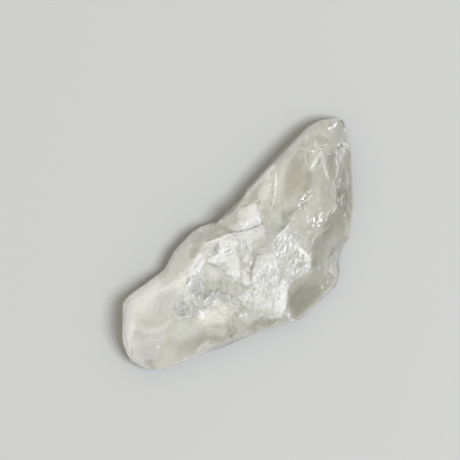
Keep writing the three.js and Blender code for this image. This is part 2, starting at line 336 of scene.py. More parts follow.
regions = {
    "bluntTop": area("pale", 0.88, 0.2, 0.8, 1.1, [(122, 303), (128, 294), (142, 283), (157, 277),
        (170, 273), (186, 276), (192, 284), (190, 292), (182, 302), (176, 312), (172, 322), (166, 328),
        (162, 337), (140, 338), (122, 338), (121, 316)], flecks=0.2),
    "bluntHollow": area("mauvePale", 0.86, 0.2, 3, 0.88, [(158, 290), (168, 286), (180, 288), (176, 298),
        (168, 308), (164, 316), (158, 318), (154, 312), (153, 300)]),
    "bluntGreen": area("khaki", 0.84, 0.2, 2.8, 0.94, [(140, 318), (152, 316), (160, 320), (168, 314),
        (174, 312), (172, 322), (164, 327), (150, 328), (140, 326)]),
    # painted light: cream raised 1.9 times on a face turned from the key light, for light through the block
    "bevel": area("cream", 0.97, 0.35, 0.6, 1.9, [(124, 301), (130, 293), (143, 283), (158, 277),
        (166, 276), (160, 284), (155, 291), (148, 298), (138, 303), (130, 304)]),
    "valley": area("khakiPale", 0.82, 0.25, 0.7, 1.25, [(158, 277), (163, 268), (172, 263), (184, 266),
        (191, 275), (190, 284), (178, 287), (166, 286), (160, 283)], rough=0.025, flecks=0.15),
    "bluntEnd": area("mauve", 0.84, 0.2, 0.8, 1, [(120, 337), (135, 335), (150, 334), (161, 332),
        (162, 344), (160, 353), (157, 362), (161, 372), (148, 373), (136, 369), (126, 362), (119, 348)],
        flecks=0.25),
    "endWall": area("pale", 0.88, 0.25, 0.5, 0.97, [(124, 298), (130, 299), (131.5, 312), (131.5, 330),
        (131.5, 350), (136, 366), (128, 360), (122, 336)], flecks=0.2),
    "bluntRidge": area("mauvePale", 0.86, 0.2, 0.7, 0.79, [(130, 330), (150, 331), (164, 330), (163, 336),
        (148, 337), (130, 338)]),
    # painted light: the end's rim raised 1.9 times on a wall turned from the key light
    "endRim": area("cream", 0.97, 0.35, 0.3, 1.9, [(117, 303), (124, 299), (126, 304), (125, 314),
        (124.5, 324), (126, 334), (125.5, 344), (129, 356), (133, 366), (122, 366), (115, 350)]),
    "endGlow": area("cream", 0.9, 0.2, 0.8, 1.28, [(127, 322), (131, 323), (133, 329), (131, 337),
        (127, 338)]),
    "endFoot": area("khaki", 0.75, 0.15, 0.8, 0.7, [(146, 361), (153, 360), (157, 366), (156, 374),
        (147, 373)]),
    "oliveFace": area("leaf", 0.7, 0.1, 0.16, 0.95, [(170, 327), (176, 322), (182, 319), (190, 318),
        (196, 322), (205, 327), (208, 333), (206, 341), (197, 349), (187, 356), (176, 362), (166, 368),
        (159, 372), (157, 362), (160, 350), (162, 340), (165, 332)], hair=0),
    "olivePale": area("green", 0.66, 0.1, 1.4, 1.05, [(174, 328), (186, 320), (198, 324), (205, 330),
        (198, 336), (186, 340), (174, 340)]),
    "oliveBrown": area("brown", 0.6, 0.1, 1.5, 0.95, [(184, 346), (194, 338), (203, 332), (209, 334),
        (206, 342), (198, 349), (187, 356), (176, 362), (176, 354)]),
    "oliveEdge": area("deepOlive", 0.6, 0.1, 0.9, 0.95, [(191, 349), (199, 341), (206, 336), (210, 340),
        (204, 346), (197, 351), (190, 354)]),
    "wedge": area("khaki", 0.62, 0.12, 0.3, 0.85, [(190, 358), (197, 350), (205, 344), (213, 341),
        (210, 346), (206, 350), (200, 354)]),
    "brownFoot": area("khaki", 0.62, 0.2, 0.7, 0.95, [(205, 326), (214, 324), (224, 324), (232, 322),
        (240, 327), (243, 334), (240, 338), (231, 341), (220, 344), (209, 346), (203, 349), (200, 346),
        (207, 338)], rough=0.03, flecks=0.05),
    "brownStain": area("brown", 0.62, 0.2, 1, 0.75, [(208, 337), (218, 336), (225, 333), (228, 326),
        (233, 322), (238, 328), (238, 336), (231, 341), (220, 343), (210, 343)], rough=0.03, mottle=0.12),
    "flangeShade": area("deepOlive", 0.4, 0.08, 0.25, 0.9, [(205, 354), (212, 349), (222, 345), (232, 342),
        (247, 338), (262, 333), (262, 338), (246, 345), (228, 351), (212, 356)], drop=0.2),
    "lowerFace": area("olive", 0.58, 0.2, 0.9, 0.95, [(238, 304), (248, 307), (256, 311), (263, 317),
        (275, 317), (285, 318), (291, 323), (280, 328), (262, 334), (245, 339), (241, 337), (240, 328),
        (232, 321), (230, 312), (234, 306)], rough=0.03, hair=0.6, mottle=0.14),
    "lowerGreen": area("greenPale", 0.62, 0.2, 1.2, 0.9, [(244, 308), (254, 308), (262, 313), (258, 322),
        (248, 324), (240, 318)], hair=0.6, mottle=0.1),
    "lowerDark": area("deepOlive", 0.55, 0.2, 0.9, 0.93, [(252, 320), (262, 317), (272, 316), (284, 315),
        (289, 319), (286, 323), (280, 327), (262, 333), (248, 336), (246, 328)], hair=0.6, mottle=0.16),
    "roughHollow": area("grey", 0.84, 0.8, 1.3, 1, [(176, 313), (180, 304), (186, 293), (190, 286),
        (199, 285), (208, 287), (222, 286), (240, 287), (243, 295), (240, 304), (236, 312), (228, 306),
        (214, 305), (206, 310), (199, 314), (190, 318), (181, 319), (176, 318)], rough=0.03, mottle=0.18,
        flecks=0.9, grain=0.6),
    "hollowPatch": area("mauvePale", 0.9, 0.75, 1.6, 0.95, [(176, 290), (186, 288), (193, 294), (194, 302),
        (187, 306), (180, 304), (175, 298)], mottle=0.12, flecks=0.6),
    "hollowLeft": area("grey", 0.86, 0.6, 0.6, 0.85, [(176, 297), (181, 295), (183, 311), (179, 316),
        (175, 310)], mottle=0.16, flecks=0.6),
    "hollowDark": area("greenGrey", 0.76, 0.45, 0.6, 0.9, [(192, 288), (199, 287), (202, 291), (198, 295),
        (193, 293)], mottle=0.14, flecks=0.1),
    "hollowDarkTwo": area("greenGrey", 0.74, 0.45, 0.6, 0.95, [(204, 290), (208, 287), (222, 286),
        (224, 290), (220, 294), (212, 294), (207, 298), (203, 297)], mottle=0.14, flecks=0.1),
    "hollowDarkThree": area("greenGrey", 0.78, 0.5, 0.9, 1, [(177, 314), (184, 308), (191, 306), (196, 308),
        (195, 314), (188, 317), (180, 318)], mottle=0.16, flecks=0.3),
    "hollowGreen": area("green", 0.76, 0.35, 1, 0.95, [(216, 290), (223, 288), (224, 300), (222, 306),
        (214, 304), (214, 297)], mottle=0.16, flecks=0.6),
    "hollowRight": area("grey", 0.8, 0.5, 1.5, 1.05, [(225, 289), (240, 289), (243, 295), (240, 302),
        (238, 312), (232, 309), (226, 303), (224, 296)], rough=0.03, mottle=0.2, flecks=0.9, hair=0.5),
    "veinPale": area("cream", 0.86, 0.35, 1.5, 1, [(198, 320), (201, 312), (208, 309), (215, 306),
        (218, 303), (227, 304), (233, 308), (232, 315), (225, 320), (222, 324), (212, 324), (206, 327),
        (200, 325)], rough=0.03, mottle=0.12),
    # painted glint: the white star at the end of the pale vein, in bright
    "veinGlint": area("bright", 0.96, 0.5, 0.4, 0.8, [(200, 311), (201.5, 310), (204, 313), (207, 310),
        (208, 311), (205.5, 315), (204.5, 319), (202, 319), (200.5, 315)], rough=0.02),
    "bulge": area("greenGrey", 0.72, 0.16, 0.6, 1.25, [(163, 274), (160, 268), (168, 256), (176, 245),
        (184, 236), (195, 228), (208, 226), (210, 236), (206, 243), (203, 246), (200, 253), (196, 258),
        (192, 266), (190, 274), (180, 270), (170, 268)], rough=0.015, mottle=0.14, hair=0.4, flecks=0.3),
    "bulgeMauve": area("mauveDark", 0.76, 0.2, 1.2, 0.75, [(188, 234), (198, 227), (207, 228), (209, 236),
        (205, 242), (197, 245), (190, 243)], mottle=0.1),
    "bulgeFoot": area("khakiPale", 0.8, 0.2, 1.2, 1.28, [(161, 274), (166, 264), (176, 259), (186, 262),
        (188, 270), (184, 275), (172, 273)], mottle=0.12, flecks=0.3),
    "bulgeDark": area("greenGrey", 0.72, 0.25, 1.3, 0.75, [(192, 247), (199, 245), (202, 249), (198, 256),
        (193, 262), (190, 256)], mottle=0.14),
    # painted shade in the re-entrant hollow, over greenish grey
    "reentrant": area("greenGrey", 0.66, 0.2, 0.9, 0.75, [(206, 231), (210, 227), (216, 224), (222, 223),
        (230, 228), (232, 232), (224, 236), (215, 239), (207, 241)], rough=0.03, mottle=0.14),
    "saddle": area("green", 0.76, 0.35, 0.5, 1.1, [(206, 259), (207, 264), (214, 266), (221, 268),
        (228, 275), (236, 281), (241, 284), (240, 288), (226, 288), (212, 289), (204, 290), (198, 286),
        (192, 286), (193, 277), (198, 268)], rough=0.01, mottle=0.12, flecks=0.3, hair=0.3),
    "saddlePale": area("pale", 0.86, 0.3, 0.8, 1.15, [(208, 272), (216, 271), (222, 276), (218, 280),
        (210, 278)], mottle=0.1),
    "saddleShade": area("greenGrey", 0.68, 0.25, 1.2, 1.15, [(200, 284), (212, 280), (228, 279), (238, 283),
        (240, 287), (226, 288), (206, 289)], mottle=0.1),
    "hollowRim": area("greenGrey", 0.84, 0.5, 0.6, 0.97, [(189, 280), (194, 276), (200, 278), (203, 284),
        (200, 289), (194, 290), (189, 287)], mottle=0.14, flecks=0.3),
    "ledgeGreen": area("green", 0.78, 0.3, 0.8, 0.75, [(221, 222), (230, 214), (238, 209), (246, 207),
        (248, 214), (243, 224), (236, 230), (230, 231), (224, 227)], rough=0.02, mottle=0.1),
    "ledgeDark": area("deepOlive", 0.7, 0.2, 0.6, 0.5, [(238, 204), (243, 199), (250, 201), (252, 205),
        (245, 207), (240, 209)]),
    "ledgeWhite": area("white", 0.93, 0.6, 0.8, 0.95, [(240, 211), (246, 206), (251, 204), (257, 203),
        (259, 212), (260, 222), (255, 226), (248, 229), (241, 232), (236, 230), (236, 224), (240, 217)],
        rough=0.03, mottle=0.16, hair=0.6, flecks=0.2),
    "ledgePatch": area("greenPale", 0.86, 0.4, 0.9, 0.95, [(240, 213), (246, 209), (249, 214), (247, 221),
        (241, 223)], mottle=0.12, hair=0.6, flecks=0.6),
    "ledgeLobe": area("mauvePale", 0.86, 0.45, 0.8, 0.95, [(230, 226), (234, 223), (240, 223), (243, 227),
        (240, 231), (234, 232)]),
    "breakMain": area("mauvePale", 0.92, 0.45, 0.2, 1, [(205, 262), (212, 257), (217, 252), (219, 244),
        (210, 243), (204, 244), (215, 239), (226, 235), (236, 232), (246, 229), (256, 226), (264, 224),
        (268, 227), (269, 236), (267, 243), (269, 248), (262, 254), (257, 257), (252, 265), (251, 273),
        (250, 281), (246, 285), (240, 283), (235, 280), (229, 275), (225, 270), (219, 267), (212, 265)],
        drop=0.09, rough=0.02, mottle=0.1, flecks=0.2),
    "breakRim": area("white", 0.95, 0.5, 0.4, 0.85, [(204, 244), (215, 239), (226, 235), (236, 232),
        (246, 230), (256, 228), (262, 227), (262, 231), (250, 233), (240, 236), (230, 237), (222, 241),
        (212, 243)]),
    "breakUpper": area("white", 0.93, 0.45, 0.7, 0.95, [(236, 234), (250, 231), (262, 228), (262, 236),
        (255, 240), (244, 240), (238, 240)], mottle=0.08),
    "breakBright": area("white", 0.96, 0.4, 0.4, 1, [(220, 242), (227, 238), (235, 240), (238, 244),
        (236, 250), (238, 256), (240, 264), (240, 277), (236, 278), (231, 274), (227, 267), (222, 264),
        (212, 263), (208, 260), (214, 256), (219, 251)], mottle=0.05),
    "breakFold": area("mauvePale", 0.9, 0.4, 0.35, 1, [(216, 262), (224, 261), (226, 264), (221, 266),
        (215, 264)], drop=0.04),
    "breakGreen": area("frost", 0.84, 0.4, 0.6, 1.05, [(240, 240), (248, 239), (256, 240), (256, 248),
        (252, 256), (248, 264), (243, 262), (240, 252)], hair=1, mottle=0.16),
    "breakOlive": area("khaki", 0.8, 0.35, 0.7, 1.1, [(255, 242), (262, 240), (267, 243), (267, 248),
        (261, 250), (256, 248)], mottle=0.12),
    "breakGrey": area("mauve", 0.84, 0.4, 0.6, 1, [(252, 250), (262, 249), (261, 253), (256, 257),
        (252, 264), (247, 270), (242, 268), (243, 262), (249, 258)], hair=0.6, mottle=0.12),
    "breakEdge": area("mauve", 0.8, 0.4, 0.4, 1.05, [(263, 226), (269, 226), (273, 234), (272, 242),
        (268, 247), (264, 243), (265, 235)], mottle=0.1),
    "breakChip": area("white", 0.92, 0.45, 0.25, 0.9, [(242, 273), (246, 271), (249, 275), (248, 281),
        (246, 284), (242, 282)], drop=-0.04),
    "whiteBand": area("white", 0.96, 0.6, 0.22, 1, [(189, 274), (190, 267), (194, 260), (199, 253),
        (206, 255), (204, 261), (200, 268), (195, 275), (191, 277)], drop=-0.07),
    "greenPatch": area("greenPale", 0.76, 0.3, 0.25, 1, [(200, 254), (203, 247), (208, 243), (217, 242),
        (215, 250), (211, 256), (206, 258), (201, 258)], rough=0.03, mottle=0.14, hair=1, flecks=0.5),
    "patchShade": area("grey", 0.74, 0.3, 0.35, 0.85, [(213, 247), (218, 243), (220, 248), (216, 254),
        (213, 253)]),
    "outerFacet": area("olive", 0.72, 0.16, 0.5, 1.15, [(234, 208), (243, 193), (252, 183), (262, 173),
        (270, 166), (277, 165), (275, 180), (273, 195), (272, 208), (270, 225), (262, 225), (259, 206),
        (250, 203), (242, 206)], hair=0.5, mottle=0.08),
    "outerShade": area("greenGrey", 0.72, 0.16, 0.6, 0.95, [(243, 199), (248, 190), (255, 184), (260, 180),
        (262, 186), (258, 196), (250, 202)]),
    "outerPale": area("pale", 0.8, 0.25, 0.7, 1.05, [(258, 202), (260, 192), (264, 186), (270, 185),
        (271, 194), (266, 200)], mottle=0.06),
    "outerStreak": area("khakiPale", 0.76, 0.2, 0.7, 1.05, [(262, 177), (268, 169), (275, 168), (274, 182),
        (268, 184)], hair=1, mottle=0.1),
    "underFacet": area("khaki", 0.7, 0.16, 0.6, 1.1, [(259, 206), (264, 203), (270, 200), (271, 212),
        (268, 224), (262, 224)], hair=0.5, mottle=0.1),
    "bladeFace": area("olive", 0.64, 0.08, 0.5, 1, [(276, 166), (290, 150), (305, 134), (314, 126),
        (320, 134), (320, 150), (313, 160), (313, 178), (309, 192), (300, 204), (290, 222), (278, 238),
        (272, 247), (274, 236), (270, 224), (272, 208), (274, 195), (275, 180)], hair=0.9, mottle=0.05,
        flecks=0.25),
    "bladePale": area("khakiPale", 0.74, 0.08, 1.4, 1.05, [(276, 169), (284, 158), (289, 160), (288, 175),
        (284, 190), (280, 200), (277, 202), (275, 190)]),
    "bladeBrown": area("brown", 0.64, 0.08, 1.8, 1, [(289, 164), (298, 160), (305, 166), (306, 180),
        (303, 192), (294, 194), (286, 192), (287, 176)]),
    # darker olive beside the ridge, painted shade of the ridge
    "bladeDark": area("deepOlive", 0.62, 0.08, 0.7, 1, [(304, 172), (308, 169), (313, 172), (313, 180),
        (311, 188), (306, 193), (303, 190)]),
    "bladeLow": area("green", 0.66, 0.12, 1.2, 1.05, [(270, 224), (270, 210), (279, 206), (290, 206),
        (284, 222), (276, 236), (273, 243), (275, 234)], hair=0.6, mottle=0.08),
    "bladeDarkLow": area("greenGrey", 0.62, 0.12, 1.3, 0.85, [(281, 212), (288, 209), (296, 207),
        (299, 206), (296, 213), (289, 220), (284, 228), (280, 236), (278, 230), (280, 220)], hair=0.8,
        mottle=0.12),
    "tipFace": area("olive", 0.62, 0.12, 0.8, 1, [(300, 140), (312, 127), (325, 119), (336, 116),
        (338, 124), (336, 140), (332, 150), (324, 153), (314, 152), (304, 150)], mottle=0.07),
    "tipLens": area("greenGrey", 0.58, 0.12, 0.45, 0.97, [(316, 138), (322, 135), (329, 138), (330, 143),
        (324, 145), (318, 144)], mottle=0.06),
    "tipMauve": area("grey", 0.76, 0.2, 1.2, 0.8, [(336, 124), (343, 120), (348, 130), (350, 143),
        (345, 145), (338, 142), (336, 132)], mottle=0.05),
    "tipShade": area("deepGrey", 0.7, 0.2, 0.8, 0.35, [(339, 118), (344, 118), (348, 126), (344, 127),
        (340, 123)]),
    "tipRight": area("olive", 0.6, 0.15, 0.5, 0.75, [(327, 152), (337, 150), (348, 148), (350, 160),
        (350, 186), (342, 190), (334, 190), (330, 178), (327, 165)], hair=0.8, mottle=0.1),
    "tipDark": area("deepOlive", 0.58, 0.15, 0.7, 1, [(327, 162), (333, 160), (336, 168), (334, 178),
        (330, 178), (327, 170)], hair=0.8),
    "tipGrey": area("mauvePale", 0.76, 0.25, 0.6, 0.8, [(335, 150), (338, 146), (346, 146), (346, 153),
        (342, 159), (338, 164), (335, 162)], hair=0.8, mottle=0.16, flecks=0.1),
    "secondFace": area("khaki", 0.6, 0.12, 0.6, 0.95, [(313, 160), (320, 154), (324, 168), (328, 178),
        (333, 188), (336, 196), (336, 204), (331, 212), (325, 221), (319, 232), (312, 243), (303, 235),
        (294, 232), (283, 232), (287, 224), (296, 214), (304, 203), (310, 193), (313, 180)], hair=0.8,
        mottle=0.06, flecks=0.25),
    "secondPale": area("khakiPale", 0.72, 0.3, 1.4, 0.95, [(292, 218), (302, 207), (312, 198), (318, 190),
        (319, 203), (312, 216), (303, 228), (290, 229)], mottle=0.05),
    "secondOlive": area("olive", 0.6, 0.12, 1.2, 0.95, [(322, 178), (330, 184), (335, 196), (335, 204),
        (329, 210), (322, 208), (321, 194)], hair=0.6, mottle=0.08),
    "secondFoot": area("olive", 0.66, 0.3, 1, 0.95, [(324, 212), (334, 206), (332, 216), (322, 230),
        (313, 240), (312, 230)], hair=0.6, mottle=0.1),
    # the right side's dark olive: its own darker tint, with painted shade of the floor seen through it
    "sideOlive": area("deepOlive", 0.48, 0.08, 0.6, 0.9, [(336, 204), (340, 190), (350, 184), (353, 200),
        (352, 222), (346, 242), (338, 250), (333, 262), (318, 272), (311, 270), (311, 248), (317, 236),
        (325, 222), (332, 212)], hair=0.5, mottle=0.07),
    "sideDark": area("dark", 0.42, 0.08, 0.9, 1.05, [(330, 224), (336, 220), (342, 222), (344, 232),
        (343, 240), (336, 236), (330, 230)]),
    "sideDarkTop": area("dark", 0.42, 0.08, 0.6, 0.85, [(335, 190), (341, 186), (347, 190), (348, 200),
        (346, 214), (340, 212), (337, 200)], hair=0.6, mottle=0.16),
    "sideFoot": area("dark", 0.45, 0.08, 0.9, 0.95, [(311, 238), (316, 236), (320, 244), (319, 262),
        (316, 276), (311, 274)], hair=0.6),
    "sideGrey": area("olive", 0.54, 0.1, 0.8, 0.8, [(320, 244), (330, 238), (344, 238), (348, 246),
        (336, 250), (330, 262), (320, 272), (319, 256)], hair=0.3, mottle=0.05),
    "sideRim": area("deepOlive", 0.62, 0.2, 0.5, 0.73, [(348, 148), (354, 150), (360, 180), (360, 225),
        (352, 245), (346, 246), (348, 230), (350, 212), (350, 195), (349, 175), (347, 160)], rough=0.01,
        hair=0.8, mottle=0.1),
    # the window's dark tones: its olive tint, and painted shade of the shadowed floor seen through it
    "clearWindow": area("deepOlive", 0.4, 0.05, 0.3, 1, [(288, 288), (294, 283), (301, 281), (309, 279),
        (313, 272), (320, 270), (330, 262), (342, 262), (344, 290), (330, 306), (314, 318), (300, 324),
        (293, 320), (288, 310), (287, 300)], drop=0.1),
    "windowDark": area("dark", 0.4, 0.05, 1.2, 0.93, [(290, 296), (297, 289), (310, 285), (320, 286),
        (327, 293), (334, 302), (316, 320), (300, 330), (291, 320)]),
    "windowFoot": area("dark", 0.7, 0.05, 1, 0.78, [(292, 303), (304, 302), (316, 299), (322, 304),
        (306, 320), (292, 320)]),
    "windowGreen": area("deepOlive", 0.4, 0.05, 1.2, 0.9, [(312, 262), (319, 262), (322, 274), (320, 284),
        (312, 284)]),
    "windowEdge": area("grey", 0.62, 0.12, 0.4, 0.9, [(287, 297), (289, 296), (290, 306), (291.5, 315),
        (289.5, 316), (287, 308)]),
    "notchRim": area("olive", 0.6, 0.15, 0.6, 0.65, [(320, 284), (328, 276), (334, 278), (340, 276),
        (340, 284), (332, 291), (324, 299), (319, 294)], rough=0.02, mottle=0.1),
    "notchGlass": area("olive", 0.66, 0.08, 0.5, 1.1, [(330, 256), (335, 252), (340, 252), (341, 266),
        (338, 276), (332, 271), (330, 263)], mottle=0.1),
    "frosted": area("frost", 0.88, 0.42, 0.3, 0.95, [(256, 258), (262, 253), (269, 249), (272, 243),
        (276, 236), (282, 230), (287, 225), (290, 230), (296, 233), (304, 240), (306, 248), (309, 256),
        (310, 266), (308, 276), (300, 281), (292, 285), (288, 290), (286, 300), (286, 311), (282, 317),
        (276, 316), (270, 317), (262, 316), (256, 311), (247, 308), (240, 303), (242, 293), (250, 286),
        (254, 280), (253, 274), (254, 266)], grooves=1, hair=1, mottle=0.12, flecks=0.5, grain=0.7),
    "frostedSparkle": area("frost", 0.88, 0.42, 1.2, 0.85, [(273, 242), (282, 231), (288, 227), (294, 236),
        (290, 248), (283, 256), (274, 256)], hair=0.7, mottle=0.16, flecks=1.4),
    "frostedFade": area("khakiPale", 0.76, 0.35, 1.2, 0.9, [(290, 231), (300, 231), (310, 233), (312, 242),
        (311, 256), (308, 262), (304, 250), (298, 244), (291, 240)], hair=0.4, mottle=0.1, flecks=0.8),
    "frostedWhite": area("white", 0.95, 0.4, 1, 0.95, [(276, 286), (282, 283), (287, 285), (286, 297),
        (285, 311), (281, 316), (276, 314), (274, 300)], hair=1, mottle=0.12, flecks=0.8),
    "frostedTop": area("white", 0.92, 0.4, 1.4, 0.85, [(258, 262), (265, 255), (272, 254), (274, 264),
        (270, 272), (262, 272), (257, 270)], hair=0.6, mottle=0.14, flecks=0.9),
    "frostedShade": area("pale", 0.84, 0.4, 1.4, 0.95, [(278, 258), (290, 250), (293, 260), (291, 276),
        (284, 283), (277, 280)], hair=1, mottle=0.1, flecks=0.3),
    "frostedPink": area("mauvePale", 0.88, 0.4, 1.4, 1.1, [(242, 296), (250, 288), (262, 288), (270, 292),
        (272, 304), (262, 309), (250, 306), (243, 303)], hair=1, mottle=0.08, flecks=0.5),
    "frostedFoot": area("greenPale", 0.76, 0.35, 1.5, 0.8, [(243, 303), (252, 306), (262, 309), (272, 311),
        (280, 312), (281, 314), (272, 316), (258, 315), (248, 313)], hair=1, mottle=0.14, flecks=0.4),
    "ovalPit": area("frost", 0.88, 0.4, 0.5, 0.82, [(296, 250), (301, 247), (306, 251), (309, 258),
        (309, 267), (305, 273), (298, 277), (294, 273), (293, 264), (294, 256)], drop=0.16, rough=0.05,
        hair=0.6, mottle=0.2, flecks=1.1),
    "ovalInside": area("greenGrey", 0.8, 0.35, 0.9, 1.23, [(298, 258), (302, 256), (305, 261), (305, 268),
        (302, 275), (297, 274), (296, 266)], hair=0.5, mottle=0.14, flecks=1),
    "ovalFoot": area("khaki", 0.7, 0.3, 1.7, 0.8, [(288, 284), (291, 277), (299, 275), (307, 272),
        (313, 268), (314, 278), (306, 283), (298, 287), (290, 291)], hair=0.6, mottle=0.14),
}

